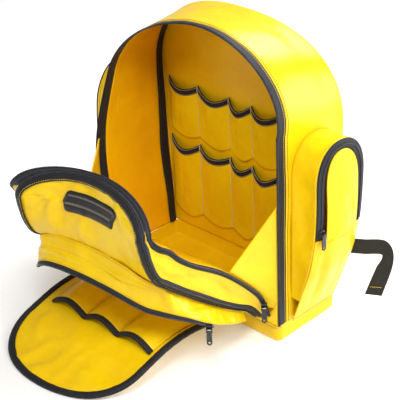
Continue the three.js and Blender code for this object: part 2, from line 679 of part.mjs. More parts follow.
// Organizer pocket: a gusset strip that follows the lid's front and hangs away from it.
// Its path is given by the place across and the climb on the lid, and the way it hangs by shares of its width.
const stripPath = [
  { along: 0.0, across: 0.95, climb: 0.1, spread: 0.12, forward: 0.05, drop: 0.3 },
  { along: 0.12, across: 0.95, climb: 0.28, spread: 0.28, forward: 0.02, drop: 0.42 },
  { along: 0.24, across: 0.95, climb: 0.46, spread: 0.45, forward: 0.02, drop: 0.6 },
  { along: 0.32, across: 0.94, climb: 0.6, spread: 0.36, forward: -0.12, drop: 0.8 },
  { along: 0.38, across: 0.88, climb: 0.7, spread: 0.12, forward: -0.1, drop: 0.95 },
  { along: 0.44, across: 0.6, climb: 0.775, spread: 0.05, forward: 0.1, drop: 0.95 },
  { along: 0.5, across: 0.0, climb: 0.8, spread: 0.0, forward: 0.36, drop: 0.78 },
  { along: 0.56, across: -0.6, climb: 0.79, spread: 0.0, forward: 0.34, drop: 0.78 },
  { along: 0.62, across: -0.9, climb: 0.73, spread: 0.0, forward: 0.16, drop: 0.92 },
  { along: 0.68, across: -0.94, climb: 0.6, spread: -0.2, forward: 0.0, drop: 0.86 },
  { along: 0.76, across: -0.95, climb: 0.46, spread: -0.3, forward: 0.0, drop: 0.6 },
  { along: 0.88, across: -0.95, climb: 0.28, spread: -0.2, forward: 0.0, drop: 0.3 },
  { along: 1.0, across: -0.95, climb: 0.16, spread: -0.1, forward: 0.05, drop: 0.14 },
];
const stripStops = stops(0, 1, 26);

function stripPoint(along, drop) {
  const across = follow(stripPath, "across", along);
  const climb = follow(stripPath, "climb", along);
  const lidFront = (u, v) => lidPoint("front", u, v);
  const away = squareTo(lidFront, across, climb, [-1, 1], [0, 1]).multiplyScalar(STRIP_CLEARANCE);
  const hang = new THREE.Vector3(
    follow(stripPath, "spread", along),
    -follow(stripPath, "forward", along),
    -follow(stripPath, "drop", along),
  ).multiplyScalar(STRIP_WIDTH * drop);
  return lidFront(across, climb).add(away).add(hang);
}
const stripYellow = (along, share) => stripPoint(along, lerp(0, 1 - STRIP_ZIP_SHARE, share));
const zipFrom = 1 - STRIP_ZIP_SHARE + SEAM_GAP / STRIP_WIDTH;
const stripZip = (along, share) => stripPoint(along, lerp(zipFrom, 1, share));
addMesh("organizer_gusset", clothOn(stripYellow, stripStops, [0, 0.5, 1], 0, -CLOTH), yellowCloth());
const stripZipStops = stripStops.filter((along) => Math.abs(along - 0.5) < 0.27);
addMesh("organizer_zip", clothOn(stripZip, stripZipStops, [0, 1], 0, -TAPE), zipTape());

// Flap: the organizer's cover, let down forward until its round end rests on the ground.
const flapProfile = [
  { along: 0.0, out: 0.0, up: 0.8 },
  { along: 0.18, out: 0.18, up: 0.9 },
  { along: 0.35, out: 0.35, up: 1.0 },
  { along: 0.5, out: 0.5, up: 0.9 },
  { along: 0.65, out: 0.65, up: 0.62 },
  { along: 0.8, out: 0.8, up: 0.3 },
  { along: 0.92, out: 0.92, up: 0.1 },
  { along: 1.0, out: 1.0, up: 0.06 },
];

// A flap point: the place across from -1 to 1 and the length along it from the hinge.
function flapPoint(across, length, inset = 0) {
  const share = length / FLAP_LENGTH;
  return new THREE.Vector3(
    across * (FLAP_WIDTH / 2 - inset) - FLAP_START_DRIFT - FLAP_DRIFT * share,
    -FLAP_START - FLAP_LENGTH * follow(flapProfile, "out", share),
    FLAP_HEIGHT * follow(flapProfile, "up", share),
  );
}
const flapEnd = (across) => FLAP_LENGTH - FLAP_ROUND + FLAP_ROUND * archTop(across, FLAP_ROUNDNESS);
const flapColumns = stops(0, 1, 14).map((share) => Math.sin(Math.PI * (share - 0.5)));
const flapRows = [0, 0.12, 0.24, 0.35, 0.5, 0.62, 0.74, 0.87, 1];
const flapPanel = (across, row) => {
  const shared = FLAP_LENGTH * Math.min(row, 0.62);
  const spare = clamp((row - 0.62) / 0.38, 0, 1);
  return flapPoint(across, lerp(shared, flapEnd(across), spare));
};
addMesh("flap", clothOn(flapPanel, flapColumns, flapRows, 0, CLOTH), yellowCloth());

// The binding lies on the flap round its two sides and its round end.
function flapEdge(way, inset) {
  const legEnd = FLAP_LENGTH - FLAP_ROUND;
  if (way < LEG_WAY || way > 1 - LEG_WAY) {
    const length = lerp(FLAP_BINDING_FOOT, legEnd, Math.min(way, 1 - way) / LEG_WAY);
    return flapPoint(way < 0.5 ? 1 : -1, length, inset);
  }
  const angle = (Math.PI * (way - LEG_WAY)) / (1 - 2 * LEG_WAY);
  const across = power(Math.cos(angle), FLAP_ROUNDNESS);
  const over = (FLAP_ROUND - inset) * power(Math.sin(angle), FLAP_ROUNDNESS);
  return flapPoint(across, legEnd + over, inset);
}
const flapBinding = (way, share) => flapEdge(way, share * FLAP_BINDING_WIDTH);
const overFlap = -FLAP_BINDING_SEAT;
addMesh("flap_binding", clothOn(flapBinding, archWays(10, 14), [0, 1], overFlap, overFlap - TAPE), binding());

// Tool pockets on the flap: crowned channels that open towards the round end, each with a bound mouth.
function addToolPocket(number, middle) {
  const mouth = TOOL_POCKET_FOOT + TOOL_POCKET_LENGTH;
  const point = (turn, length) => {
    const grown = lerp(TOOL_FOOT_CROWN_SHARE, 1, clamp((length - TOOL_POCKET_FOOT) / TOOL_POCKET_LENGTH, 0, 1));
    const across = (middle + turn * (TOOL_POCKET_WIDTH / 2 - SEAM_GAP)) / (FLAP_WIDTH / 2);
    const crown = TOOL_POCKET_CROWN * grown * Math.cos((Math.PI / 2) * turn);
    return flapPoint(across, length).add(new THREE.Vector3(0, 0, CLOTH + 2 * SEAM_GAP + crown));
  };
  const turns = stops(-1, 1, 6);
  const bodyRows = stops(TOOL_POCKET_FOOT, mouth, 4);
  const mouthRows = [mouth + SEAM_GAP, mouth + TOOL_BINDING_WIDTH];
  addMesh(`tool_pocket_${number}`, clothOn(point, turns, bodyRows, 0, CLOTH), yellowCloth());
  addMesh(`tool_pocket_binding_${number}`, clothOn(point, turns, mouthRows, 0, CLOTH), binding());
}
for (let number = 1; number <= TOOL_POCKET_COUNT; number += 1) {
  addToolPocket(number, TOOL_POCKET_OFFSET + (number - (TOOL_POCKET_COUNT + 1) / 2) * TOOL_POCKET_WIDTH);
}

const pocketSliderWay = 1 - (LEG_WAY * (POCKET_SLIDER_HEIGHT - POCKET_FOOT)) / (POCKET_SPRING - POCKET_FOOT);

// Sliders on the lid zip, both side pocket zips and the organizer zip.
const cornerwise = (distance) => new THREE.Vector3(distance, -distance, 0);
const lidZipEnd = lidSide(LID_SLIDER_WAY, LID_ZIP_WIDTH / 2);
addSlider("lid", lidZipEnd.add(cornerwise(LID_SLIDER_STANDOFF)), LID_SLIDER_TURN);
for (const [name, side] of [["right_pocket", 1], ["left_pocket", -1]]) {
  const onRim = pocketPoint(side, pocketSliderWay, POCKET_ZIP_WIDTH / 2, 1, SLIDER_SEAT);
  addSlider(name, onRim, (side * Math.PI) / 2);
}
const stripEnd = stripPoint(STRIP_SLIDER_ALONG, 1 - STRIP_ZIP_SHARE / 2);
addSlider("organizer", stripEnd.add(cornerwise(ORGANIZER_SLIDER_STANDOFF)), ORGANIZER_SLIDER_TURN);

// Waist straps: flat webbing from behind the pack, which bends and hangs to a free end.
// Shares of the strap's reach out and back, its height, and a quarter turn of roll.
const waistPath = [
  { along: 0.0, out: 0.0, back: 0.0, up: 1.0, roll: 0.0 },
  { along: 0.2, out: 0.32, back: 0.06, up: 1.0, roll: 0.0 },
  { along: 0.42, out: 0.66, back: 0.5, up: 1.0, roll: 0.0 },
  { along: 0.6, out: 0.93, back: 0.95, up: 1.0, roll: 0.1 },
  { along: 0.68, out: 1.0, back: 1.0, up: 0.9, roll: 0.45 },
  { along: 0.78, out: 0.96, back: 0.95, up: 0.69, roll: 0.85 },
  { along: 1.0, out: 0.8, back: 0.78, up: 0.23, roll: 1.0 },
];
const waistStops = stops(0, 1, 16);

function addWaistStrap(name, side) {
  const centre = (along) =>
    new THREE.Vector3(
      side * (WAIST_STRAP_START + WAIST_STRAP_OUT * follow(waistPath, "out", along)),
      BODY_DEPTH / 2 + SEAM_GAP + WEBBING / 2 + WAIST_STRAP_BACK * follow(waistPath, "back", along),
      WAIST_STRAP_HEIGHT * follow(waistPath, "up", along),
    );
  const point = (along, across) => {
    const roll = (Math.PI / 2) * follow(waistPath, "roll", along);
    const level = new THREE.Vector3(side * Math.cos(WAIST_STRAP_HEADING), Math.sin(WAIST_STRAP_HEADING), 0);
    const edge = level.multiplyScalar(Math.sin(roll)).add(new THREE.Vector3(0, 0, Math.cos(roll)));
    return centre(along).addScaledVector(edge, across * WEBBING_WIDTH);
  };
  addMesh(name, clothOn(point, waistStops, [-0.5, 0.5], -WEBBING / 2, WEBBING / 2), webbingCloth());
}
addWaistStrap("right_waist_strap", 1);
addWaistStrap("left_waist_strap", -1);

// Shoulder straps: padded, from near the top of the back panel out and down to near the boot.
const harnessPath = [
  { along: 0.0, out: 0.0, up: 1.0, spread: 0.0, width: 0.9 },
  { along: 0.14, out: 0.42, up: 0.95, spread: 0.04, width: 1.0 },
  { along: 0.35, out: 0.9, up: 0.74, spread: 0.2, width: 1.0 },
  { along: 0.6, out: 1.0, up: 0.46, spread: 0.45, width: 1.0 },
  { along: 0.82, out: 0.62, up: 0.2, spread: 0.72, width: 0.75 },
  { along: 1.0, out: 0.0, up: 0.0, spread: 1.0, width: 0.5 },
];

function addShoulderStrap(name, side) {
  const point = (across, along) =>
    new THREE.Vector3(
      side * (HARNESS_START + HARNESS_SPREAD * follow(harnessPath, "spread", along)) +
        across * HARNESS_WIDTH * follow(harnessPath, "width", along),
      BODY_DEPTH / 2 + HARNESS_SEAT + HARNESS_BULGE * follow(harnessPath, "out", along),
      lerp(HARNESS_FOOT, HARNESS_TOP, follow(harnessPath, "up", along)),
    );
  const half = HARNESS_THICKNESS / 2;
  addMesh(name, clothOn(point, [-0.5, 0, 0.5], stops(0, 1, 16), -half, half), webbingCloth());
}
addShoulderStrap("right_shoulder_strap", 1);
addShoulderStrap("left_shoulder_strap", -1);

export default pack;
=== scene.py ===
"""Looks for an open tool backpack in glossy coated cloth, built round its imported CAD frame.

Sizes in the dataclasses are in millimetres, in the part's own frame: X across the pack, -Y towards
the opening and +Z up. Meshes are made in metres.
"""

import logging
import math
from dataclasses import dataclass, field
from enum import Enum
from typing import Callable, Dict, List, Optional, Sequence, Tuple, Union

import bpy
import numpy as np
from mathutils import Matrix, Vector


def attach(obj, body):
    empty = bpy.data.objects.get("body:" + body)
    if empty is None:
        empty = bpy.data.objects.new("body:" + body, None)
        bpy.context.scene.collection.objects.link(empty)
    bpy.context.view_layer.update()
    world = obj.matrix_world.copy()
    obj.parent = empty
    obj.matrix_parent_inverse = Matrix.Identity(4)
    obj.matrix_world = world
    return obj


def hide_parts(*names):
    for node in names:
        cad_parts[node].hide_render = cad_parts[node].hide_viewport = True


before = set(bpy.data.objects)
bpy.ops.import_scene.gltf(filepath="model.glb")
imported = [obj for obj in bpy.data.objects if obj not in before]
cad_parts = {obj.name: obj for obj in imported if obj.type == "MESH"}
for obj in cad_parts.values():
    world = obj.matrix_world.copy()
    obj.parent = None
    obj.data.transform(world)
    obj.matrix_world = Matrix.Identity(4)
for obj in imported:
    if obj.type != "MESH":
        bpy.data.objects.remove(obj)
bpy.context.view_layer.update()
LOG = logging.getLogger("backpack")
MM = 0.001

Array = np.ndarray
Amount = Union[Array, float]
Surface = Callable[[Array, Array], Array]
Heights = Callable[[Array, Array, Array], Array]
Place = Tuple[float, float]
Fold = Tuple[float, Place, Place, float]


# Number helpers


def lerp(a: Amount, b: Amount, share: Amount) -> Amount:
    """Blend from a to b by a share."""
    return a + (b - a) * share


def smooth(low: float, high: float, value: Array) -> Array:
    """Smooth step from 0 at low to 1 at high."""
    share = np.clip((value - low) / (high - low), 0.0, 1.0)
    return share * share * (3.0 - 2.0 * share)


def power(value: Array, roundness: float) -> Array:
    """Superellipse coordinate of a cosine or sine."""
    return np.sign(value) * np.abs(value) ** (2.0 / roundness)


def arch_top(across: Array, roundness: float) -> Array:
    """Height share of an arch at a place across from -1 to 1."""
    return np.maximum(1.0 - np.abs(across) ** roundness, 0.0) ** (1.0 / roundness)


def follow(table: Sequence[Dict[str, float]], column: str, share: Array) -> Array:
    """Reads a table column at shares of the way, on a smooth curve through its rows.

    Args:
        table: rows with an "along" value and named columns.
        column: the column to read.
        share: where to read it.

    Returns:
        The column's value at each share.
    """
    share = np.asarray(share, float)
    along = np.array([row["along"] for row in table])
    value = np.array([row[column] for row in table])
    last = len(table) - 1
    index = np.clip(np.searchsorted(along, share, side="left") - 1, 0, last - 1)
    before, after = np.maximum(index - 1, 0), np.minimum(index + 2, last)
    span = along[index + 1] - along[index]
    left = (value[index + 1] - value[before]) / (along[index + 1] - along[before]) * span
    right = (value[after] - value[index]) / (along[after] - along[index]) * span
    f = np.clip((share - along[index]) / span, 0.0, 1.0)
    rest = 1.0 - f
    return (
        rest * rest * (1 + 2 * f) * value[index]
        + f * f * (1 + 2 * rest) * value[index + 1]
        + f * rest * (rest * left - f * right)
    )


def points(x: Amount, y: Amount, z: Amount) -> Array:
    """Stacks coordinates into an array of points."""
    return np.stack(np.broadcast_arrays(x, y, z), axis=-1).astype(float)


def unit(vectors: Array) -> Array:
    """Scales vectors to length 1."""
    return vectors / np.maximum(np.linalg.norm(vectors, axis=-1, keepdims=True), 1e-9)


class Crinkle:
    """Seeded smooth noise in space, for dents and creases of cloth."""

    def __init__(self, seed: int, waves: int = 14) -> None:
        """Draws the noise's waves from a seed.

        Args:
            seed: the seed of the random draws.
            waves: how many waves are added up.
        """
        draw = np.random.default_rng(seed)
        heading = unit(draw.normal(size=(waves, 3)))
        self.vectors = heading * draw.uniform(0.6, 1.7, (waves, 1)) * 2.0 * math.pi
        self.phases = draw.uniform(0.0, 2.0 * math.pi, waves)

    def soft(self, place: Array, size: float) -> Array:
        """Rounded dents, about -1 to 1, of a size in millimetres."""
        turned = place @ self.vectors.T / size + self.phases
        return np.sin(turned + 0.8 * np.sin(turned[..., ::-1])).mean(axis=-1) * 2.2


def fold(u: Array, v: Array, start: Place, end: Place, width: float) -> Array:
    """A long dent between two places of a surface.

    Args:
        u: the first surface coordinate.
        v: the second surface coordinate.
        start: where the dent starts.
        end: where it ends.
        width: its half width, in the same units.

    Returns:
        1 on the dent's line, falling to 0 beside it and past its ends.
    """
    a, b = np.array(start, float), np.array(end, float)
    run = b - a
    share = ((u - a[0]) * run[0] + (v - a[1]) * run[1]) / (run @ run)
    near = np.clip(share, 0.0, 1.0)
    gap = np.hypot(u - a[0] - near * run[0], v - a[1] - near * run[1])
    return np.exp(-((gap / width) ** 2)) * smooth(-0.1, 0.25, share) * smooth(1.1, 0.75, share)


def fold_sum(u: Array, v: Array, folds: Sequence[Fold]) -> Array:
    """The sum of a table's folds, each with a height in millimetres, a start, an end and a half width."""
    return sum(height * fold(u, v, start, end, width) for height, start, end, width in folds)


# Meshes


def new_object(
    name: str, place: Array, faces: Sequence[Sequence[int]], uv: Optional[Array] = None
) -> bpy.types.Object:
    """Makes a smooth-shaded mesh object from points in millimetres.

    Args:
        name: the object's name.
        place: its points.
        faces: its faces, as point numbers.
        uv: a pair for each point, in metres of cloth, if it has any.

    Returns:
        The linked object.
    """
    mesh = bpy.data.meshes.new(name)
    mesh.from_pydata((place * MM).tolist(), [], [tuple(map(int, face)) for face in faces])
    mesh.validate()
    if uv is not None:
        layer = mesh.uv_layers.new(name="cloth")
        corner = np.zeros(len(mesh.loops), np.int32)
        mesh.loops.foreach_get("vertex_index", corner)
        layer.data.foreach_set("uv", uv[corner].astype(np.float32).ravel())
    mesh.polygons.foreach_set("use_smooth", [True] * len(mesh.polygons))
    mesh.update()
    piece = bpy.data.objects.new(name, mesh)
    bpy.context.scene.collection.objects.link(piece)
    return piece


def grid_faces(
    rows: int, columns: int, first: int = 0, wrap: bool = False
) -> List[Tuple[int, int, int, int]]:
    """Faces of a grid of points, row by row, joined round its columns if it wraps.

    Args:
        rows: how many rows there are.
        columns: how many columns there are.
        first: the number of the first point.
        wrap: whether the last column meets the first.

    Returns:
        The faces, as point numbers.
    """
    faces = []
    for row in range(rows - 1):
        for column in range(columns if wrap else columns - 1):
            right = (column + 1) % columns
            a, b = first + row * columns + column, first + row * columns + right
            faces.append((a, b, b + columns, a + columns))
    return faces


def normals_of(grid: Array) -> Array:
    """Unit normals of a grid of points, from its neighbours."""
    return unit(np.cross(np.gradient(grid, axis=1), np.gradient(grid, axis=0)))


def cloth_lengths(grid: Array) -> Array:
    """Distances along both ways of a grid, in metres, for a texture map.

    Args:
        grid: rows of points, in millimetres.

    Returns:
        A pair for each point.
    """
    across = np.linalg.norm(np.diff(grid, axis=1), axis=-1)
    along = np.linalg.norm(np.diff(grid, axis=0), axis=-1)
    u = np.concatenate([np.zeros((grid.shape[0], 1)), np.cumsum(across, axis=1)], axis=1)
    v = np.concatenate([np.zeros((1, grid.shape[1])), np.cumsum(along, axis=0)], axis=0)
    return np.stack([u, v], axis=-1) * MM


def sheet_of(
    name: str,
    surface: Surface,
    across: Array,
    along: Array,
    near: float,
    far: float,
    heights: Optional[Heights] = None,
) -> bpy.types.Object:
    """A closed wall of cloth on a surface, with rounded edges.

    Args:
        name: the object's name.
        surface: gives points for two coordinates.
        across: stops of the first coordinate.
        along: stops of the second coordinate.
        near: distance of one face, square to the surface.
        far: distance of the other face.
        heights: adds dents to both faces, from both coordinates and the points.

    Returns:
        The object.
    """
    u, v = np.meshgrid(across, along)
    grid = surface(u, v)
    normal = normals_of(grid)
    if heights is not None:
        grid = grid + normal * heights(u, v, grid)[..., None]
        normal = normals_of(grid)
    rows, columns = u.shape
    count = rows * columns
    uv = cloth_lengths(grid).reshape(-1, 2)
    rim = (
        [(0, c) for c in range(columns)]
        + [(r, columns - 1) for r in range(1, rows)]
        + [(rows - 1, c) for c in range(columns - 2, -1, -1)]
        + [(r, 0) for r in range(rows - 2, 0, -1)]
    )
    where = np.array([r * columns + c for r, c in rim])
    flat_grid, flat_normal = grid.reshape(-1, 3), normal.reshape(-1, 3)
    middle = np.array([[min(max(r, 1), rows - 2), min(max(c, 1), columns - 2)] for r, c in rim])
    inward = unit(flat_grid[where] - grid[middle[:, 0], middle[:, 1]])
    inward -= flat_normal[where] * (inward * flat_normal[where]).sum(-1, keepdims=True)
    edge = flat_grid[where] + flat_normal[where] * (near + far) / 2 + unit(inward) * abs(far - near) * 0.3
    place = np.concatenate([flat_grid + flat_normal * near, flat_grid + flat_normal * far, edge])
    faces = [tuple(reversed(face)) for face in grid_faces(rows, columns)]
    far_faces = len(faces)
    faces += grid_faces(rows, columns, count)
    total = len(where)
    for k in range(total):
        a, b = where[k], where[(k + 1) % total]
        ea, eb = 2 * count + k, 2 * count + (k + 1) % total
        faces.append((a, b, eb, ea))
        faces.append((ea, eb, count + b, count + a))
    piece = outward(new_object(name, place, faces, np.concatenate([uv, uv, uv[where]])))
    piece["far_faces"] = far_faces
    return piece


def outward(piece: bpy.types.Object) -> bpy.types.Object:
    """Turns a closed mesh's faces outwards.

    Args:
        piece: the object.

    Returns:
        The same object.
    """
    mesh = piece.data
    mesh.calc_loop_triangles()
    volume = sum(
        mesh.vertices[t.vertices[0]].co.dot(
            mesh.vertices[t.vertices[1]].co.cross(mesh.vertices[t.vertices[2]].co)
        )
        for t in mesh.loop_triangles
    )
    if volume < 0:
        mesh.flip_normals()
    return piece


def tube_of(
    name: str,
    path: Array,
    radius: float,
    flatten: Optional[Array] = None,
    sides: int = 8,
    squash: float = 1.0,
) -> bpy.types.Object:
    """A closed tube along a path.

    Args:
        name: the object's name.
        path: its middle line.
        radius: its radius.
        flatten: directions along which the section is pressed flat, one a point.
        sides: how many sides it has.
        squash: the section's thickness along those directions, as a share.

    Returns:
        The object.
    """
    heading = unit(np.gradient(path, axis=0))
    lift = np.broadcast_to(np.array([0.0, 0.0, 1.0]), path.shape) if flatten is None else flatten
    side = unit(np.cross(heading, lift))
    lift = unit(np.cross(side, heading))
    angle = np.linspace(0, 2 * math.pi, sides, endpoint=False)
    ring = (
        side[:, None] * np.cos(angle)[None, :, None]
        + lift[:, None] * np.sin(angle)[None, :, None] * squash
    )
    grid = path[:, None] + ring * radius
    place = np.concatenate([grid.reshape(-1, 3), path[:1], path[-1:]])
    rows = len(path)
    faces = grid_faces(rows, sides, wrap=True)
    first, last = rows * sides, rows * sides + 1
    for k in range(sides):
        after = (k + 1) % sides
        faces.append((first, after, k))
        faces.append((last, (rows - 1) * sides + k, (rows - 1) * sides + after))
    lengths = np.concatenate([[0.0], np.cumsum(np.linalg.norm(np.diff(path, axis=0), axis=-1))]) * MM
    uv = np.stack([np.repeat(lengths, sides), np.tile(angle * radius * MM, rows)], axis=-1)
    return outward(new_object(name, place, faces, np.concatenate([uv, [[0, 0], [lengths[-1], 0]]])))


def joined(name: str, parts: Sequence[bpy.types.Object]) -> bpy.types.Object:
    """Joins several objects into one mesh, with their materials kept.

    Args:
        name: the name of what is made.
        parts: the objects, of which the first stays.

    Returns:
        The joined object.
    """
    with bpy.context.temp_override(active_object=parts[0], selected_editable_objects=list(parts)):
        bpy.ops.object.join()
    parts[0].name = name
    parts[0].data.name = name
    return parts[0]


def evenly(path: Array, step: float) -> Array:
    """Points a step apart along a path.

    Args:
        path: the points of a line, in millimetres.
        step: how far apart the stops are, in millimetres.

    Returns:
        The points.
    """
    lengths = np.concatenate([[0.0], np.cumsum(np.linalg.norm(np.diff(path, axis=0), axis=-1))])
    count = max(int(lengths[-1] / step), 2)
    stops = np.linspace(0, lengths[-1], count + 1)
    return np.stack([np.interp(stops, lengths, path[:, axis]) for axis in range(3)], axis=-1)


def stitches_on(
    name: str, surface: Surface, u: Array, v: Array, lift: float, thread: "Thread"
) -> bpy.types.Object:
    """A row of stitches along a line of a surface, each a short rounded bar that dips at its ends.

    Args:
        name: the object's name.
        surface: the surface that is sewn, with its dents.
        u: the line's first coordinates.
        v: its second coordinates.
        lift: how far the thread lies above the surface, on the side that its normal points to.
        thread: the stitch's sizes.

    Returns:
        The object.
    """
    step = 1e-3
    base = surface(u, v)
    ahead = surface(u + step, v) - surface(u - step, v)
    beside = surface(u, v + step) - surface(u, v - step)
    normal = unit(np.cross(ahead, beside)) * np.sign(lift)
    line = base + normal * abs(lift)
    return stitch_row(name, line, normal, thread)


def stitch_row(name: str, line: Array, normal: Array, thread: "Thread") -> bpy.types.Object:
    """Stitches along a line, each a short rounded bar that dips at its ends.

    Args:
        name: the object's name.
        line: the points that the thread follows.
        normal: the way up from the cloth at each point.
        thread: the stitch's sizes.

    Returns:
        The object.
    """
    lengths = np.concatenate([[0.0], np.cumsum(np.linalg.norm(np.diff(line, axis=0), axis=-1))])
    count = max(int(lengths[-1] / thread.pitch), 1)
    bars, faces = [], []
    angle = np.linspace(0, 2 * math.pi, 5, endpoint=False)
    for k in range(count):
        at = thread.pitch * (k + np.array([0.1, 0.22, 0.78, 0.9]))
        spot = np.stack([np.interp(at, lengths, line[:, axis]) for axis in range(3)], axis=-1)
        up = unit(np.stack([np.interp(at, lengths, normal[:, axis]) for axis in range(3)], axis=-1))
        spot = spot + up * thread.radius * np.array([-0.6, 0.5, 0.5, -0.6])[:, None]
        side = unit(np.cross(np.gradient(spot, axis=0), up))
        ring = side[:, None] * np.cos(angle)[None, :, None] + up[:, None] * np.sin(angle)[None, :, None]
        first = len(bars) * 20
        bars.append((spot[:, None] + ring * thread.radius).reshape(-1, 3))
        faces += grid_faces(4, 5, first, wrap=True)
        faces += [tuple(first + n for n in (4, 3, 2, 1, 0)), tuple(first + 15 + n for n in range(5))]
    return new_object(name, np.concatenate(bars), faces)


@dataclass(frozen=True)
class Thread:
    """Sizes of a row of stitches."""

    pitch: float = 4.2
    radius: float = 0.38


SEAM = Thread(4.0, 0.36)
FINE_SEAM = Thread(3.8, 0.36)


# Shader nodes


class Value:
    """A shader socket that takes arithmetic with other sockets and numbers."""

    def __init__(self, nodes: "Nodes", socket: bpy.types.NodeSocket) -> None:
        """Wraps an output socket of a tree."""
        self.nodes = nodes
        self.socket = socket

    def math(self, operation: str, *others: "Value | float") -> "Value":
        """Adds a Math node on this value and others."""
        inputs = {index: item for index, item in enumerate((self, *others))}
        return self.nodes.add("ShaderNodeMath", {"operation": operation}, inputs)["Value"]

    def _swapped(self, operation: str, other: float) -> "Value":
        """A Math node with the number first."""
        return self.nodes.add("ShaderNodeMath", {"operation": operation}, {0: other, 1: self})["Value"]

    def __add__(self, other: "Value | float") -> "Value":
        """Sum."""
        return self.math("ADD", other)

    def __radd__(self, other: float) -> "Value":
        """Sum with a number first."""
        return self.math("ADD", other)

    def __sub__(self, other: "Value | float") -> "Value":
        """Difference."""
        return self.math("SUBTRACT", other)

    def __rsub__(self, other: float) -> "Value":
        """Difference from a number."""
        return self._swapped("SUBTRACT", other)

    def __mul__(self, other: "Value | float") -> "Value":
        """Product."""
        return self.math("MULTIPLY", other)

    def __rmul__(self, other: float) -> "Value":
        """Product with a number first."""
        return self.math("MULTIPLY", other)

    def __truediv__(self, other: "Value | float") -> "Value":
        """Quotient."""
        return self.math("DIVIDE", other)

    def between(self, low: float, high: float) -> "Value":
        """Smooth step from 0 at low to 1 at high."""
        settings = {"interpolation_type": "SMOOTHSTEP"}
        inputs = {"Value": self, "From Min": low, "From Max": high, "To Min": 0.0, "To Max": 1.0}
        return self.nodes.add("ShaderNodeMapRange", settings, inputs)["Result"]


class Nodes:
    """One material's node tree."""

    def __init__(self, name: str) -> None:
        """Starts an empty material.

        Args:
            name: the name of what is made.
        """
        self.material = bpy.data.materials.new(name)
        self.material.use_nodes = True
        self.tree = self.material.node_tree
        self.tree.nodes.clear()

    def add(
        self, kind: str, settings: Optional[dict] = None, inputs: Optional[dict] = None
    ) -> Dict[str, Value]:
        """Adds a node.

        Args:
            kind: the node's type.
            settings: its properties; "stops" fills a colour ramp with (place, colour) pairs.
            inputs: a number, colour or Value for each input, by name or place.

        Returns:
            Its output sockets by name.
        """
        node = self.tree.nodes.new(kind)
        for key, setting in (settings or {}).items():
            if key == "stops":
                ramp = node.color_ramp
                while len(ramp.elements) < len(setting):
                    ramp.elements.new(0.5)
                for element, (place, colour) in zip(ramp.elements, setting):
                    element.position = place
                    element.color = (*colour, 1.0)
            else:
                setattr(node, key, setting)
        for key, item in (inputs or {}).items():
            if isinstance(item, Value):
                self.tree.links.new(item.socket, node.inputs[key])
            else:
                node.inputs[key].default_value = item
        found: Dict[str, Value] = {}
        for socket in node.outputs:
            if socket.enabled and socket.name not in found:
                found[socket.name] = Value(self, socket)
        return found

    def place(self) -> Value:
        """Object coordinates, in metres."""
        return self.add("ShaderNodeTexCoord")["Object"]

    def cloth(self) -> Value:
        """Distances along the cloth, in metres."""
        return self.add("ShaderNodeTexCoord")["UV"]

    def noise(
        self, size_mm: float, detail: float = 3.0, rough: float = 0.55, at: Optional[Value] = None
    ) -> Value:
        """Noise from 0 to 1 with spots of a size in millimetres.

        Args:
            size_mm: the size of its spots, in millimetres.
            detail: how many finer layers it has.
            rough: how strong the finer layers are.
            at: where it is read, by default at the object's own place.

        Returns:
            The noise.
        """
        inputs = {
            "Vector": at or self.place(), "Scale": 1000.0 / size_mm, "Detail": detail, "Roughness": rough
        }
        return self.add("ShaderNodeTexNoise", {}, inputs)["Fac"]

    def stripes(self, pitch_mm: float, axis: str, bend: float = 0.0) -> Value:
        """Sine stripes along the cloth, from 0 to 1, a pitch apart."""
        settings = {"wave_type": "BANDS", "bands_direction": axis, "wave_profile": "SIN"}
        inputs = {"Vector": self.cloth(), "Scale": 314.16 / pitch_mm, "Distortion": bend}
        return self.add("ShaderNodeTexWave", settings, inputs)["Fac"]

    def blend(self, share: "Value | float", low: "Value | tuple", high: "Value | tuple") -> Value:
        """Mixes two colours.

        Args:
            share: how much of the second colour.
            low: the colour at 0.
            high: the colour at 1.

        Returns:
            The mixed colour.
        """
        inputs = {
            0: share,
            6: low if isinstance(low, Value) else (*low, 1.0),
            7: high if isinstance(high, Value) else (*high, 1.0),
        }
        return self.add("ShaderNodeMix", {"data_type": "RGBA"}, inputs)["Result"]

    def bump(
        self, height: Value, depth_mm: float, strength: float = 1.0, onto: Optional[Value] = None
    ) -> Value:
        """A normal from a height between 0 and 1.

        Args:
            height: the relief, between 0 and 1.
            depth_mm: how deep the relief is, in millimetres.
            strength: how strongly it shows, from 0 to 1.
            onto: a normal that it is added to, if any.

        Returns:
            The normal.
        """
        inputs = {"Height": height, "Distance": depth_mm * MM, "Strength": strength}
        if onto is not None:
            inputs["Normal"] = onto
        return self.add("ShaderNodeBump", {}, inputs)["Normal"]

    def finish(self, fixed: dict, varying: dict) -> bpy.types.Material:
        """Ends the tree with a shader.

        Args:
            fixed: numbers and colours set on the shader's own sockets.
            varying: links to sockets that may change over a surface.

        Returns:
            The material.
        """
        shader = self.tree.nodes.new("ShaderNodeBsdfPrincipled")
        output = self.tree.nodes.new("ShaderNodeOutputMaterial")
        for key, item in fixed.items():
            shader.inputs[key].default_value = item
        for key, item in varying.items():
            self.tree.links.new(item.socket, shader.inputs[key])
        self.tree.links.new(shader.outputs["BSDF"], output.inputs["Surface"])
        return self.material


# Finishes

Colour = Tuple[float, float, float]


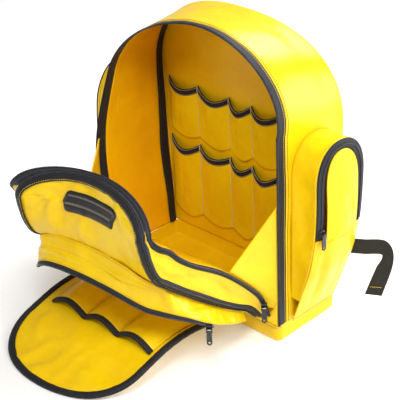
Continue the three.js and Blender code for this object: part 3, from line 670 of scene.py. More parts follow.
@dataclass(frozen=True)
class CoatedCloth:
    """Cloth coated on both faces: glossy, with its weave and fine crazing just showing."""

    name: str
    slot: str
    bright: Colour
    deep: Colour
    roughness: float = 0.34
    coat: float = 0.3
    crazing: float = 1.0

    def material(self) -> bpy.types.Material:
        """Builds the finish."""
        n = Nodes(self.name)
        broad = n.noise(85.0, 2.0)
        fine = n.noise(9.0, 4.0)
        scuff = n.noise(26.0, 6.0, 0.7)
        weave = n.stripes(1.5, "X") * n.stripes(1.5, "Y")
        veins = n.add(
            "ShaderNodeTexVoronoi", {"feature": "DISTANCE_TO_EDGE"}, {"Vector": n.place(), "Scale": 26.0}
        )["Distance"]
        craze = (1.0 - veins.between(0.0, 0.035)) * n.noise(60.0, 2.0).between(0.55, 0.75)
        colour = n.blend((broad * 0.7 + fine * 0.3).between(0.3, 0.7), self.deep, self.bright)
        faded = (min(self.bright[0] * 1.03, 1.0), self.bright[1] * 1.12, self.bright[2] + 0.02)
        colour = n.blend(craze * 0.35 + scuff.between(0.62, 0.8) * 0.18, colour, faded)
        rough = self.roughness + (scuff - 0.5) * 0.16 + craze * 0.12
        relief = n.bump(n.noise(38.0, 3.0, 0.5), 1.6, 0.55)
        relief = n.bump(craze, 0.25, 0.5 * self.crazing, relief)
        relief = n.bump(n.noise(6.0, 3.0), 0.12, 0.5, relief)
        relief = n.bump(weave, 0.05, 0.5, relief)
        fixed = {"Coat Roughness": 0.26, "Specular IOR Level": 0.12, "Coat IOR": 1.5}
        varying = {"Base Color": colour, "Roughness": rough, "Normal": relief}
        varying["Coat Weight"] = self.coat * (1.0 - scuff.between(0.55, 0.85) * 0.5)
        return n.finish(fixed, varying)


@dataclass(frozen=True)
class WovenTape:
    """Ribbed tape or webbing: dull threads in fine diagonal or straight ribs, with fluff and wear."""

    name: str
    slot: str
    thread: Colour
    worn: Colour
    rib_mm: float = 1.1
    roughness: float = 0.62
    relief_mm: float = 0.25

    def material(self) -> bpy.types.Material:
        """Builds the finish."""
        n = Nodes(self.name)
        rib = n.stripes(self.rib_mm, "DIAGONAL", 0.25)
        cross = n.stripes(self.rib_mm * 0.8, "Y")
        wear = n.noise(14.0, 5.0, 0.65)
        colour = n.blend(rib * 0.5 + wear.between(0.5, 0.8) * 0.5, self.thread, self.worn)
        rough = self.roughness + (wear - 0.5) * 0.22 - rib * 0.08
        relief = n.bump(rib * 0.7 + cross * 0.3, self.relief_mm, 0.8)
        relief = n.bump(n.noise(3.0, 3.0), 0.15, 0.4, relief)
        fixed = {"Specular IOR Level": 0.22, "Sheen Weight": 0.04, "Sheen Roughness": 0.5}
        return n.finish(fixed, {"Base Color": colour, "Roughness": rough, "Normal": relief})


@dataclass(frozen=True)
class Plain:
    """Moulded rubber, plastic, enamelled metal or thread, with grain, dust and polish on its edges."""

    name: str
    slot: str
    colour: Colour
    dusty: Colour
    roughness: float = 0.4
    metallic: float = 0.0
    grain_mm: float = 0.06
    spot_mm: float = 1.2
    coat: float = 0.0

    def material(self) -> bpy.types.Material:
        """Builds the finish."""
        n = Nodes(self.name)
        grain = n.noise(self.spot_mm, 4.0, 0.6)
        dust = n.noise(11.0, 5.0, 0.65)
        edge = n.add("ShaderNodeNewGeometry")["Pointiness"].between(0.5, 0.58)
        colour = n.blend(dust.between(0.5, 0.8) * 0.6 + edge * 0.4, self.colour, self.dusty)
        rough = self.roughness + (dust - 0.5) * 0.25 - edge * 0.1
        fixed = {
            "Coat Weight": self.coat,
            "Coat Roughness": 0.15,
            "Metallic": self.metallic,
            "Specular IOR Level": 0.28,
        }
        relief = n.bump(grain, self.grain_mm, 0.7)
        return n.finish(fixed, {"Base Color": colour, "Roughness": rough, "Normal": relief})


class Finish(Enum):
    """The pack's finishes."""

    SHELL = CoatedCloth("coated_cloth", "yellow_cloth", (0.92, 0.62, 0.004), (0.84, 0.52, 0.002))
    INSIDE = CoatedCloth(
        "coated_cloth_inside", "lining_cloth", (0.95, 0.53, 0.003), (0.9, 0.45, 0.002), 0.4, 0.12
    )
    POCKET = CoatedCloth(
        "coated_cloth_pocket", "yellow_cloth", (0.93, 0.68, 0.005), (0.86, 0.6, 0.003), 0.36, 0.15
    )
    TAPE = WovenTape("zip_tape", "zip_tape", (0.01, 0.011, 0.016), (0.034, 0.037, 0.048), 0.9, 0.5)
    BINDING = WovenTape("binding_tape", "binding", (0.008, 0.008, 0.01), (0.03, 0.03, 0.034), 1.3, 0.6)
    WEBBING = WovenTape("webbing", "webbing", (0.01, 0.01, 0.008), (0.04, 0.038, 0.03), 1.8, 0.68, 0.4)
    PADDING = WovenTape(
        "padding_cover", "padded_webbing", (0.012, 0.012, 0.012), (0.04, 0.04, 0.042), 1.5, 0.7
    )
    COIL = Plain(
        "zip_coil", "zip_tape", (0.012, 0.013, 0.018), (0.045, 0.048, 0.06), 0.28, 0.0, 0.02, 0.8, 0.3
    )
    RUBBER = Plain(
        "patch_rubber", "patch_rubber", (0.012, 0.012, 0.013), (0.04, 0.038, 0.035), 0.45, 0.0, 0.1, 1.6
    )
    BAR = Plain("patch_bar", "patch_rubber", (0.13, 0.105, 0.075), (0.19, 0.155, 0.115), 0.5, 0.0, 0.08, 1.4)
    METAL = Plain(
        "slider_enamel", "zip_metal", (0.012, 0.012, 0.014), (0.1, 0.1, 0.105), 0.3, 0.55, 0.03, 2.0, 0.2
    )
    YELLOW_THREAD = Plain(
        "yellow_thread", "yellow_cloth", (0.75, 0.5, 0.02), (0.85, 0.66, 0.1), 0.5, 0.0, 0.1, 0.7
    )
    DARK_THREAD = Plain(
        "dark_thread", "binding", (0.05, 0.048, 0.03), (0.12, 0.11, 0.07), 0.55, 0.0, 0.1, 0.7
    )
    PALE_THREAD = Plain(
        "pale_thread", "yellow_cloth", (0.66, 0.6, 0.36), (0.8, 0.74, 0.5), 0.55, 0.0, 0.1, 0.7
    )


MADE: Dict[Finish, bpy.types.Material] = {}


def made(finish: Finish) -> bpy.types.Material:
    """The finish's material, built the first time it is asked for."""
    if finish not in MADE:
        MADE[finish] = finish.value.material()
    return MADE[finish]


def dress(
    piece: bpy.types.Object, finish: Finish, node: Sequence[str] = (), body: str = "pack"
) -> bpy.types.Object:
    """Gives a piece its finish and its body, and hides the solids that it stands for.

    Args:
        piece: the object.
        finish: its finish.
        node: names of the solids that it replaces.
        body: the body that it rides on.

    Returns:
        The same object.
    """
    if not piece.data.materials:
        piece.data.materials.append(made(finish))
    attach(piece, body)
    if node:
        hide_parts(*node)
    LOG.info("%s: %d faces, %s", piece.name, len(piece.data.polygons), finish.name.lower())
    return piece


# Body

LEG_WAY = 0.25


@dataclass(frozen=True)
class Arch:
    """An arched outline on two straight legs, run from its +X foot round to its -X foot."""

    half: float
    foot_half: float
    foot: float
    spring: float
    top: float
    roundness: float
    apex_shift: float = 0.0

    def outline(self, way: Array) -> Tuple[Array, Array]:
        """X and Z of the outline.

        Args:
            way: shares of the way round, from the +X foot to the -X foot.

        Returns:
            X and Z of each place.
        """
        way = np.asarray(way, float)
        leg = np.clip(np.minimum(way, 1 - way) / LEG_WAY, 0.0, 1.0)
        side = np.where(way < 0.5, 1.0, -1.0)
        angle = math.pi * (np.clip(way, LEG_WAY, 1 - LEG_WAY) - LEG_WAY) / (1 - 2 * LEG_WAY)
        on_leg = leg < 1.0
        arch_x = self.half * power(np.cos(angle), self.roundness) + self.apex_shift * np.sin(angle)
        arch_z = self.spring + (self.top - self.spring) * power(np.sin(angle), self.roundness)
        x = np.where(on_leg, side * lerp(self.foot_half, self.half, leg), arch_x)
        z = np.where(on_leg, lerp(self.foot, self.spring, leg), arch_z)
        return x, z

    def inset(self, way: Array, inset: Amount) -> Tuple[Array, Array]:
        """X and Z of a line inside the outline.

        Args:
            way: shares of the way round, from the +X foot to the -X foot.
            inset: how far inside, in millimetres.

        Returns:
            X and Z of each place.
        """
        step = 1e-3
        x0, z0 = self.outline(np.maximum(way - step, 0.0))
        x1, z1 = self.outline(np.minimum(way + step, 1.0))
        run_x, run_z = x1 - x0, z1 - z0
        size = np.maximum(np.hypot(run_x, run_z), 1e-9)
        x, z = self.outline(way)
        return x - run_z / size * inset, z + run_x / size * inset


def ways(leg_steps: int, arch_steps: int, start: float = 0.0, end: float = 1.0) -> Array:
    """Stops round an arched outline, closer on its bends.

    Args:
        leg_steps: steps on each straight leg.
        arch_steps: steps over the arch.
        start: where the stops begin.
        end: where they end.

    Returns:
        The stops, from start to end.
    """
    leg = np.linspace(0, LEG_WAY, leg_steps + 1)
    top = np.linspace(LEG_WAY, 1 - LEG_WAY, arch_steps + 1)[1:-1]
    every = np.concatenate([leg, top, 1 - leg[::-1]])
    inner = every[(every > start + 1e-4) & (every < end - 1e-4)]
    return np.concatenate([[start], inner, [end]])


# Drawn folds of the wall, placed by way round and depth
WALL_FOLDS = [
    (3.2, (0.8, 0.0), (0.9, 0.9), 0.05),
    (-3.0, (0.87, 0.1), (0.97, 0.8), 0.04),
    (2.2, (0.76, 0.1), (0.8, 0.8), 0.03),
    (-1.6, (0.05, 0.2), (0.22, 0.28), 0.05),
    (1.6, (0.36, 0.15), (0.42, 0.75), 0.05),
    (-1.4, (0.3, 0.3), (0.33, 0.8), 0.035),
]


@dataclass(frozen=True)
class Body:
    """The arched main compartment: its wall, parted zip, back, boot and inner seam binding."""

    depth: float = 131.0
    cloth: float = 2.0
    tape: float = 1.4
    gap: float = 0.5
    zip_width: float = 17.0
    binding_width: float = 13.0
    binding_setback: float = 3.0
    boot_height: float = 28.0
    boot_corner: float = 9.0
    slump_out: float = 20.0
    slump_forward: float = 19.0
    front: Arch = Arch(169.0, 169.0, 28.5, 340.0, 470.0, 1.84, 32.0)
    back: Arch = Arch(182.0, 170.0, 28.5, 315.0, 448.0, 2.35)
    noise: Crinkle = field(default_factory=lambda: Crinkle(11))

    def dent(self, way: Array, depth: Array, place: Array) -> Array:
        """How far the wall's cloth stands out from its plain form.

        Args:
            way: shares of the way round, from the +X foot to the -X foot.
            depth: shares of the depth, from front to back.
            place: the wall's points.

        Returns:
            The height at each point, in millimetres.
        """
        left = np.clip((way - 0.7) / 0.3, 0.0, 1.0)
        right = np.clip((0.25 - way) / 0.25, 0.0, 1.0)
        soft = 1.1 * self.noise.soft(place, 150.0) + 0.5 * self.noise.soft(place, 62.0)
        folds = fold_sum(way, depth, WALL_FOLDS)
        edges = smooth(0.0, 0.12, depth) * smooth(1.0, 0.9, depth)
        return (soft * (1.0 + 0.8 * left - 0.3 * right) + folds) * edges

    def wall(self, way: Array, depth: Array, inset: Amount = 0.0) -> Array:
        """Points of the wall, at shares of the depth from front to back and an inset from its outer face."""
        plain = self.plain_wall(way, depth, 0.0)
        return self.plain_wall(way, depth, inset - self.dent(way, depth, plain))

    def plain_wall(self, way: Array, depth: Array, inset: Amount) -> Array:
        """Points of the wall without its dents.

        Args:
            way: shares of the way round, from the +X foot to the -X foot.
            depth: shares of the depth, from front to back.
            inset: how far inside the outline, in millimetres.

        Returns:
            The points.
        """
        front_x, front_z = self.front.inset(way, inset)
        back_x, back_z = self.back.inset(way, inset)
        leg = np.clip((1 - way) / LEG_WAY, 0.0, 1.0)
        slump = np.sin(math.pi * leg) * (1 - depth)
        return points(
            lerp(front_x, back_x, depth) - self.slump_out * slump,
            (depth - 0.5) * self.depth - self.slump_forward * slump,
            lerp(front_z, back_z, depth),
        )

    def build(self) -> None:
        """Builds and dresses the compartment."""
        d = self.depth
        around = ways(60, 110)
        cloth = sheet_of(
            "side_wall_cloth",
            self.wall,
            around,
            np.linspace((self.zip_width + self.gap) / d, 1.0, 30),
            0.0,
            self.cloth,
        )
        dress(two_faced(cloth, Finish.SHELL, Finish.INSIDE), Finish.SHELL, ["side_wall"])
        tape = sheet_of(
            "body_zip_tape", self.wall, around, np.linspace(0.0, self.zip_width / d, 6), 0.0, self.tape
        )
        coil = coil_on("body_zip_coil", lambda s: self.wall(s, s * 0 + 2.2 / d, 0.0), ways(90, 160), 2.6)
        dress(tape, Finish.TAPE, ["body_zip"])
        dress(coil, Finish.COIL)
        for name, depth, finish in (
            ("body_zip_thread", self.zip_width - 3.4, Finish.YELLOW_THREAD),
            ("body_edge_thread", self.zip_width + 4.0, Finish.DARK_THREAD),
        ):
            line = np.full(around.shape, depth / d)
            row = stitches_on(name, self.wall, around, line, -0.15, Thread(4.0, 0.42))
            dress(row, finish)
        self.build_seam_binding(around)
        self.build_back()
        self.build_boot()

    def build_seam_binding(self, around: Array) -> None:
        """Builds the tape over the inner back seam.

        Args:
            around: stops of the way round.
        """
        end = self.depth - self.cloth - self.binding_setback
        start = end - self.binding_width
        across = np.linspace(start, end, 7) / self.depth
        crown = lambda way, depth: self.wall(
            way,
            depth,
            self.cloth
            + 2 * self.gap
            + 0.9 * np.sin(math.pi * (depth - across[0]) / (across[-1] - across[0])),
        )
        dress(
            sheet_of("back_seam_tape", crown, around, across, 0.0, self.tape),
            Finish.BINDING,
            ["back_seam_binding"],
        )
        for number, depth in enumerate((start + 1.8, end - 1.8)):
            line = np.full(around.shape, depth / self.depth)
            row = stitches_on(
                f"back_seam_thread_{number + 1}", crown, around, line, self.tape + 0.15, Thread()
            )
            dress(row, Finish.DARK_THREAD)

    def back_point(self, way: Array, climb: Array) -> Array:
        """Points of the back panel, on columns that climb from the boot to the arch."""
        top_x, top_z = self.back.inset(way, self.cloth + self.gap)
        foot_x = top_x / self.back.half * self.back.foot_half
        return points(lerp(foot_x, top_x, climb), self.depth / 2, lerp(self.back.foot, top_z, climb))

    def build_back(self) -> None:
        """Builds the back panel."""
        edges = (
            lambda u, v: np.sin(math.pi * np.clip((u - 0.25) * 2, 0, 1)) ** 0.5
            * np.sin(math.pi * v) ** 0.5
        )
        dents = lambda u, v, p: edges(u, v) * (
            1.2 * self.noise.soft(p, 130.0) + 0.5 * self.noise.soft(p, 55.0)
        )
        columns = np.linspace(LEG_WAY, 1 - LEG_WAY, 90)
        panel = sheet_of(
            "back_panel_cloth", self.back_point, columns, np.linspace(0, 1, 70), 0.0, -self.cloth, dents
        )
        dress(panel, Finish.SHELL, ["back_panel"])

    def build_boot(self) -> None:
        """Builds the shallow tray that the pack stands on."""
        half = (self.front.half, self.depth / 2)
        low, high, wall = 0.0, self.boot_height, self.cloth
        profile = [(9.0, low), (3.0, low), (1.2, low + 0.5), (0.2, low + 2.2)]
        profile += [
            (-0.8 * math.sin(math.pi * s), lerp(low + 2.6, high - 1.0, s)) for s in np.linspace(0, 1, 9)
        ]
        profile += [(0.3, high - 0.2), (1.0, high), (1.7, high - 0.2), (wall, high - 1.0), (wall, low + 4.0)]
        profile += [(wall + 1.0, low + 2.6), (wall + 3.0, low + wall), (12.0, low + wall)]
        rings = [
            rounded_rectangle(half[0] - inset, half[1] - inset, max(self.boot_corner - inset, 0.8))
            for inset, _ in profile
        ]
        grid = np.stack([points(ring[:, 0], ring[:, 1], z) for ring, (_, z) in zip(rings, profile)])
        rows, columns = grid.shape[:2]
        middles = np.array([[0.0, 0.0, low], [0.0, 0.0, low + wall]])
        faces = grid_faces(rows, columns, wrap=True)
        count = rows * columns
        for k in range(columns):
            after = (k + 1) % columns
            faces.append((count, after, k))
            faces.append((count + 1, (rows - 1) * columns + k, (rows - 1) * columns + after))
        boot = outward(new_object("boot_cloth", np.concatenate([grid.reshape(-1, 3), middles]), faces))
        dress(boot, Finish.SHELL, ["boot"])
        ring = np.concatenate([rings[7], rings[7][:1]])
        line = evenly(points(ring[:, 0] * 1.002, ring[:, 1] * 1.002, high - 5.0), 4.2)
        dress(thread_along("boot_thread", line, Thread(4.2, 0.4)), Finish.PALE_THREAD)


def rounded_rectangle(half_x: float, half_y: float, corner: float, arc: int = 6, straight: int = 24) -> Array:
    """Outline points of a rectangle with round corners.

    Args:
        half_x: half the width.
        half_y: half the depth.
        corner: the corners' radius.
        arc: steps round a corner.
        straight: steps along a side.

    Returns:
        The points, in turn round the outline.
    """
    found: List[Array] = []
    for turn, (sx, sy) in enumerate(((1, 1), (-1, 1), (-1, -1), (1, -1))):
        angle = np.linspace(0, math.pi / 2, arc + 1) + turn * math.pi / 2
        middle = np.array([sx * (half_x - corner), sy * (half_y - corner)])
        found.append(middle + corner * np.stack([np.cos(angle), np.sin(angle)], axis=-1))
        sx2, sy2 = ((-1, 1), (-1, -1), (1, -1), (1, 1))[turn]
        angle_end = angle[-1]
        start = found[-1][-1]
        end = np.array([sx2 * (half_x - corner), sy2 * (half_y - corner)]) + corner * np.array(
            [math.cos(angle_end), math.sin(angle_end)]
        )
        share = np.linspace(0, 1, straight + 1)[1:-1, None]
        found.append(start + (end - start) * share)
    return np.concatenate(found)


def two_faced(
    piece: bpy.types.Object, near: Finish, far: Finish, mask: Optional[Array] = None
) -> bpy.types.Object:
    """Gives the far face of a sheet another finish than the rest.

    Args:
        piece: the sheet.
        near: finish of its near face and rim.
        far: finish of its far face.
        mask: which faces of the far face take it, if not all.

    Returns:
        The same object.
    """
    for finish in (near, far):
        piece.data.materials.append(made(finish))
    count = piece["far_faces"]
    index = np.zeros(len(piece.data.polygons), np.int32)
    index[count : 2 * count] = 1 if mask is None else mask.astype(np.int32)
    piece.data.polygons.foreach_set("material_index", index)
    return piece


def coil_on(
    name: str, line: Callable[[Array], Array], stops: Array, width: float, thick: float = 1.3
) -> bpy.types.Object:
    """The coil of a zip half: small teeth across a line, on a cord that joins them.

    Args:
        name: the name of what is made.
        line: gives points for stops of its length.
        stops: the stops that are used.
        width: the width of the teeth, in millimetres.
        thick: their thickness.

    Returns:
        The coil's object.
    """
    path = evenly(line(stops), 1.7)
    heading = unit(np.gradient(path, axis=0))
    cord = tube_of(name, path, thick * 0.5, sides=5)
    ring = np.array([[-1, -1], [1, -1], [1, 1], [-1, 1]], float) * 0.5
    side = unit(np.cross(heading, np.broadcast_to(np.array([0.35, -0.8, 0.5]), heading.shape)))
    lift = unit(np.cross(side, heading))
    bars, faces = [], []
    for k in range(len(path)):
        centre = path[k]
        base = len(bars) * 8
        corners = []
        for end in (-0.5, 0.5):
            for across, up in ring:
                corners.append(
                    centre
                    + side[k] * width * end
                    + heading[k] * across * 0.9
                    + lift[k] * up * thick * (1.3 - abs(end))
                )
        bars.append(np.array(corners))
        faces += [(base, base + 3, base + 2, base + 1), (base + 4, base + 5, base + 6, base + 7)]
        faces += [(base + n, base + (n + 1) % 4, base + 4 + (n + 1) % 4, base + 4 + n) for n in range(4)]
    teeth = new_object(f"{name}_teeth", np.concatenate(bars), faces)
    return joined(name, [cord, teeth])


def thread_along(name: str, path: Array, thread: Thread) -> bpy.types.Object:
    """Stitches along a free path, facing up and away from the pack's middle."""
    away = path * np.array([1.0, 1.0, 0.0]) * 0.01 + np.array([0.0, 0.0, 1.0])
    return stitch_row(name, path, unit(away), thread)


BODY = Body()


# Drawn folds of one pocket of a row, placed by share across and climb
ROW_FOLDS = [
    (1.0, (0.3, 0.1), (0.42, 0.95), 0.05),
    (-0.8, (0.66, 0.2), (0.6, 0.95), 0.05),
]


@dataclass(frozen=True)
class OrganizerRow:
    """A row of open pockets sewn to the inside of the back, with a drooping bound top."""

    name: str
    foot: float
    top: float
    seed: int
    half_width: float = 164.0
    bulge: float = 9.0
    droop: float = 12.0
    binding_width: float = 10.0
    dividers: Tuple[float, ...] = (-1.0, -0.62, -0.22, 0.06, 0.38, 0.7, 1.0)

    def point(self, place: Array, height: Array, bulge: Array) -> Array:
        """Points of the row at a place counted in pockets.

        Args:
            place: places counted in pockets.
            height: heights, in millimetres.
            bulge: how far the pockets swell, in millimetres.

        Returns:
            The points.
        """
        pocket = np.clip(np.floor(place), 0, len(self.dividers) - 2).astype(int)
        share = place - pocket
        stops = np.array(self.dividers)
        across = lerp(stops[pocket], stops[pocket + 1], share)
        swell = np.clip(np.sin(math.pi * share), 0.0, 1.0)
        inside = BODY.depth / 2 - BODY.cloth - BODY.gap
        wander = 0.16 * np.sin(2.2 * place + self.seed) * swell
        return points(
            across * self.half_width,
            inside - bulge * swell**0.8,
            height - self.droop * swell * (1.0 + wander),
        )

    def panel(self, place: Array, climb: Array) -> Array:
        """The cloth between the foot and the binding."""
        low = self.point(place, np.full(np.shape(place), self.foot), 0.0)
        high = self.point(place, self.top - self.binding_width - BODY.gap, self.bulge)
        return lerp(low, high, np.asarray(climb)[..., None])

    def bound(self, place: Array, climb: Array) -> Array:
        """The binding along the top."""
        high = self.point(place, self.top - self.binding_width * (1 - climb), self.bulge)
        high[..., 1] -= 0.5 + 0.9 * np.sin(math.pi * climb)
        return high

    def build(self) -> None:
        """Builds and dresses the row."""
        noise = Crinkle(self.seed)
        count = len(self.dividers) - 1
        place = np.concatenate([k + np.linspace(0, 1, 22)[:-1] for k in range(count)] + [[count]])

        def creases(u: Array, v: Array, p: Array) -> Array:
            """Drawn folds between the dividers.

            Args:
                u: the first surface coordinate.
                v: the second surface coordinate.
                p: the surface's points.

            Returns:
                The height at each point, in millimetres.
            """
            share = u - np.floor(u)
            pull = fold_sum(share, v, ROW_FOLDS)
            return -(0.6 * noise.soft(p, 34.0) + 1.2 * pull * np.sin(3.1 * np.floor(u) + 1.0)) * np.sin(
                math.pi * share
            )

        cloth = sheet_of(
            f"{self.name}_cloth", self.panel, place, np.linspace(0, 1, 34), 0.0, BODY.cloth, creases
        )
        dress(cloth, Finish.POCKET, [self.name])
        band = sheet_of(f"{self.name}_binding_tape", self.bound, place, np.linspace(0, 1, 7), 0.0, BODY.cloth)
        dress(band, Finish.BINDING, [f"{self.name}_binding"])
        for number, climb in enumerate((0.14, 0.86)):
            row = stitches_on(
                f"{self.name}_thread_{number + 1}",
                self.bound,
                place,
                np.full(place.shape, climb),
                BODY.cloth + 0.15,
                Thread(3.6, 0.34),
            )
            dress(row, Finish.PALE_THREAD)
        seams = []
        for divider in range(1, count):
            v = np.linspace(0.0, 1.0, 40)
            for side in (-0.012, 0.012):
                seams.append(
                    stitches_on(
                        "seam",
                        self.panel,
                        np.full(v.shape, divider + side),
                        v,
                        BODY.cloth + 0.1,
                        Thread(3.8, 0.34),
                    )
                )
            v = np.linspace(0.02, 0.98, 10)
            seams.append(
                stitches_on(
                    "tack",
                    self.bound,
                    np.full(v.shape, float(divider)),
                    v,
                    BODY.cloth + 0.6,
                    Thread(1.6, 0.8),
                )
            )
        dress(joined(f"{self.name}_divider_thread", seams), Finish.PALE_THREAD)


# Side pockets

POCKET_DEPTHS = [
    {"along": 0.0, "depth": 0.1},
    {"along": 0.25, "depth": 0.4},
    {"along": 0.6, "depth": 0.8},
    {"along": 1.0, "depth": 1.0},
    {"along": 1.76, "depth": 1.0},
]


# Drawn folds of a side pocket's face, placed by place across and climb
POCKET_FOLDS = [
    (-2.6, (-0.75, 0.42), (-0.35, 0.02), 0.1),
    (2.4, (-0.5, 0.44), (0.1, 0.05), 0.12),
    (-2.0, (0.05, 0.46), (0.5, 0.1), 0.1),
    (1.2, (-0.6, 0.6), (0.3, 0.56), 0.05),
    (-1.4, (0.1, 0.7), (0.7, 0.62), 0.06),
]


@dataclass(frozen=True)
class SidePocket:
    """A zipped pocket on a side wall: its gusset, zip and crowned face."""

    name: str
    side: int
    seed: int
    middle: float = 9.0
    foot: float = 29.0
    height: float = 328.0
    depth: float = 46.0
    full_height: float = 200.0
    crown: float = 11.0
    zip_width: float = 15.0
    zip_foot: float = 182.0
    arch: Arch = Arch(47.0, 47.0, 29.0, 262.0, 328.0, 2.2)

    def reach(self, y: Array, z: Array) -> Array:
        """How far the side wall stands from the middle.

        Args:
            y: places in depth, in millimetres.
            z: heights, in millimetres.

        Returns:
            The distances, in millimetres.
        """
        front, back = BODY.front, BODY.back
        depth = np.clip(y / BODY.depth + 0.5, 0, 1)
        leg = np.clip((np.minimum(z, front.spring) - front.foot) / (front.spring - front.foot), 0, 1)
        rise = np.clip((z - back.foot) / (back.spring - back.foot), 0, 1)
        slump = BODY.slump_out * np.sin(math.pi * leg) * (1 - depth) if self.side < 0 else 0.0
        return lerp(front.half, lerp(back.foot_half, back.half, rise), depth) + slump

    def place(self, y: Array, z: Array, out: Array, extra: Array = 0.0) -> Array:
        """A point at a share of the pocket's depth out from the wall.

        Args:
            y: places in depth, in millimetres.
            z: heights, in millimetres.
            out: shares of the pocket's depth out from the wall.
            extra: how much further out, in millimetres.

        Returns:
            The points.
        """
        rise = (z - self.foot) / (self.full_height - self.foot)
        depth = self.depth * follow(POCKET_DEPTHS, "depth", rise)
        reach = self.reach(y, z) + BODY.gap + out * depth + extra
        return points(self.side * reach, y, z)

    def rim(self, way: Array, inset: Array, out: Array = 1.0, extra: Array = 0.0) -> Array:
        """A point round the pocket's outline."""
        x, z = self.arch.inset(way, inset)
        return self.place(self.middle + x, z, out, extra)

    def face(self, across: Array, climb: Array) -> Array:
        """The crowned face, on columns across and one climb over both its parts.

        Args:
            across: places across, from -1 to 1.
            climb: places up, from 0 at the foot.

        Returns:
            The points.
        """
        split = 0.5
        upper = np.clip((climb - split) / (1 - split), 0, 1)
        lower = np.clip(climb / split, 0, 1)
        half = self.arch.half - 0.4
        inner = half - self.zip_width - BODY.gap
        top = (
            self.arch.spring
            + (self.arch.top - self.arch.spring - self.zip_width - BODY.gap) * arch_top(across, 2.2)
        )
        z = np.where(
            climb <= split, lerp(self.foot, self.zip_foot - 1.0, lower), lerp(self.zip_foot, top, upper)
        )
        narrow = smooth(split - 0.006, split + 0.004, climb)
        y = self.middle + across * lerp(half, inner, narrow)
        span = (y - self.middle) / half
        open_up = (1 - span**2) * np.sin(math.pi * np.clip((z - self.foot) / (self.height - self.foot), 0, 1))
        return self.place(y, z, np.ones_like(z), self.crown * open_up)

    def dents(self, noise: Crinkle) -> Heights:
        """Soft folds of the face: a crease up from the front bottom corner and hollows below the zip.

        Args:
            noise: the cloth's noise.

        Returns:
            The function that gives the heights.
        """
        flip = float(self.side)

        def heights(u: Array, v: Array, p: Array) -> Array:
            """Folds and noise of the face, standing out on its outer side.

            Args:
                u: the first surface coordinate.
                v: the second surface coordinate.
                p: the surface's points.

            Returns:
                The height at each point, in millimetres.
            """
            edge = (1 - np.abs(u) ** 4) * smooth(0, 0.06, v) * smooth(1.0, 0.94, v)
            folds = fold_sum(u, v, POCKET_FOLDS)
            return flip * edge * (folds + 0.9 * noise.soft(p, 60.0) + 0.4 * noise.soft(p, 27.0))

        return heights

    def build(self) -> None:
        """Builds and dresses the pocket."""
        noise = Crinkle(self.seed)
        flip = self.side
        around = ways(40, 60, 0.04, 0.96)

        def gusset(way: Array, out: Array) -> Array:
            """A point of the gusset, which sags between wall and zip.

            Args:
                way: shares of the way round, from the +X foot to the -X foot.
                out: 0 on the wall, 1 at the zip.

            Returns:
                The points.
            """
            sag = 2.0 * np.sin(math.pi * out) * (1 + 0.6 * np.sin(23 * way + self.seed))
            low = self.rim(way, sag, 0.0)
            high = self.rim(way, sag, 1.0, -BODY.cloth - 0.6)
            return lerp(low, high, np.asarray(out)[..., None])

        wrinkle = lambda u, v, p: flip * -np.sin(math.pi * v) * (
            1.4 * noise.soft(p, 55.0) + 0.5 * noise.soft(p, 22.0)
        )
        cloth = sheet_of(
            f"{self.name}_gusset_cloth",
            gusset,
            around,
            np.linspace(0, 1, 20),
            0.0,
            -flip * BODY.cloth,
            wrinkle,
        )
        dress(cloth, Finish.SHELL, [f"{self.name}_gusset"])
        face = sheet_of(
            f"{self.name}_face_cloth",
            self.face,
            np.sin(np.linspace(-0.5, 0.5, 46) * math.pi),
            np.concatenate(
                [np.linspace(0, 0.49, 40), np.linspace(0.494, 0.506, 5), np.linspace(0.51, 1, 40)]
            ),
            0.0,
            -flip * BODY.cloth,
            self.dents(noise),
        )
        dress(face, Finish.SHELL, [f"{self.name}_face"])
        self.build_zip()
        self.build_seams(gusset)

    def build_zip(self) -> None:
        """Builds the zip's tape, coil and thread."""
        flip = self.side
        leg = LEG_WAY * (self.zip_foot - self.foot) / (self.arch.spring - self.foot)
        along = ways(40, 60, leg, 1 - leg)
        band = lambda way, share: self.rim(
            way, share * self.zip_width, 1.0, 1.6 * np.sin(math.pi * share) ** 0.6 + 0.2
        )
        tape = sheet_of(f"{self.name}_zip_tape", band, along, np.linspace(0, 1, 9), 0.0, -flip * BODY.tape)
        dress(tape, Finish.TAPE, [f"{self.name}_zip"])
        coil = coil_on(
            f"{self.name}_zip_coil", lambda s: band(s, s * 0 + 0.5) + np.array([flip * 0.5, 0, 0]), along, 3.4
        )
        dress(coil, Finish.COIL)
        rows = [
            stitches_on("edge", band, along, np.full(along.shape, share), flip * 0.15, FINE_SEAM)
            for share in (0.12, 0.88)
        ]
        dress(joined(f"{self.name}_zip_thread", rows), Finish.DARK_THREAD)

    def build_seams(self, gusset: Surface) -> None:
        """Builds the thread along the rim and the low seam across the face.

        Args:
            gusset: the gusset's surface.
        """
        flip = self.side
        along = ways(40, 60, 0.05, 0.95)
        rows = [
            stitches_on("rim", gusset, along, np.full(along.shape, 0.93), flip * 0.2, SEAM),
            stitches_on("root", gusset, along, np.full(along.shape, 0.06), flip * 0.2, SEAM),
        ]
        across = np.linspace(-0.96, 0.96, 60)
        rows.append(
            stitches_on("low", self.face, across, np.full(across.shape, 0.484), flip * 1.2, SEAM)
        )
        dress(joined(f"{self.name}_thread", rows), Finish.YELLOW_THREAD)


# Lid

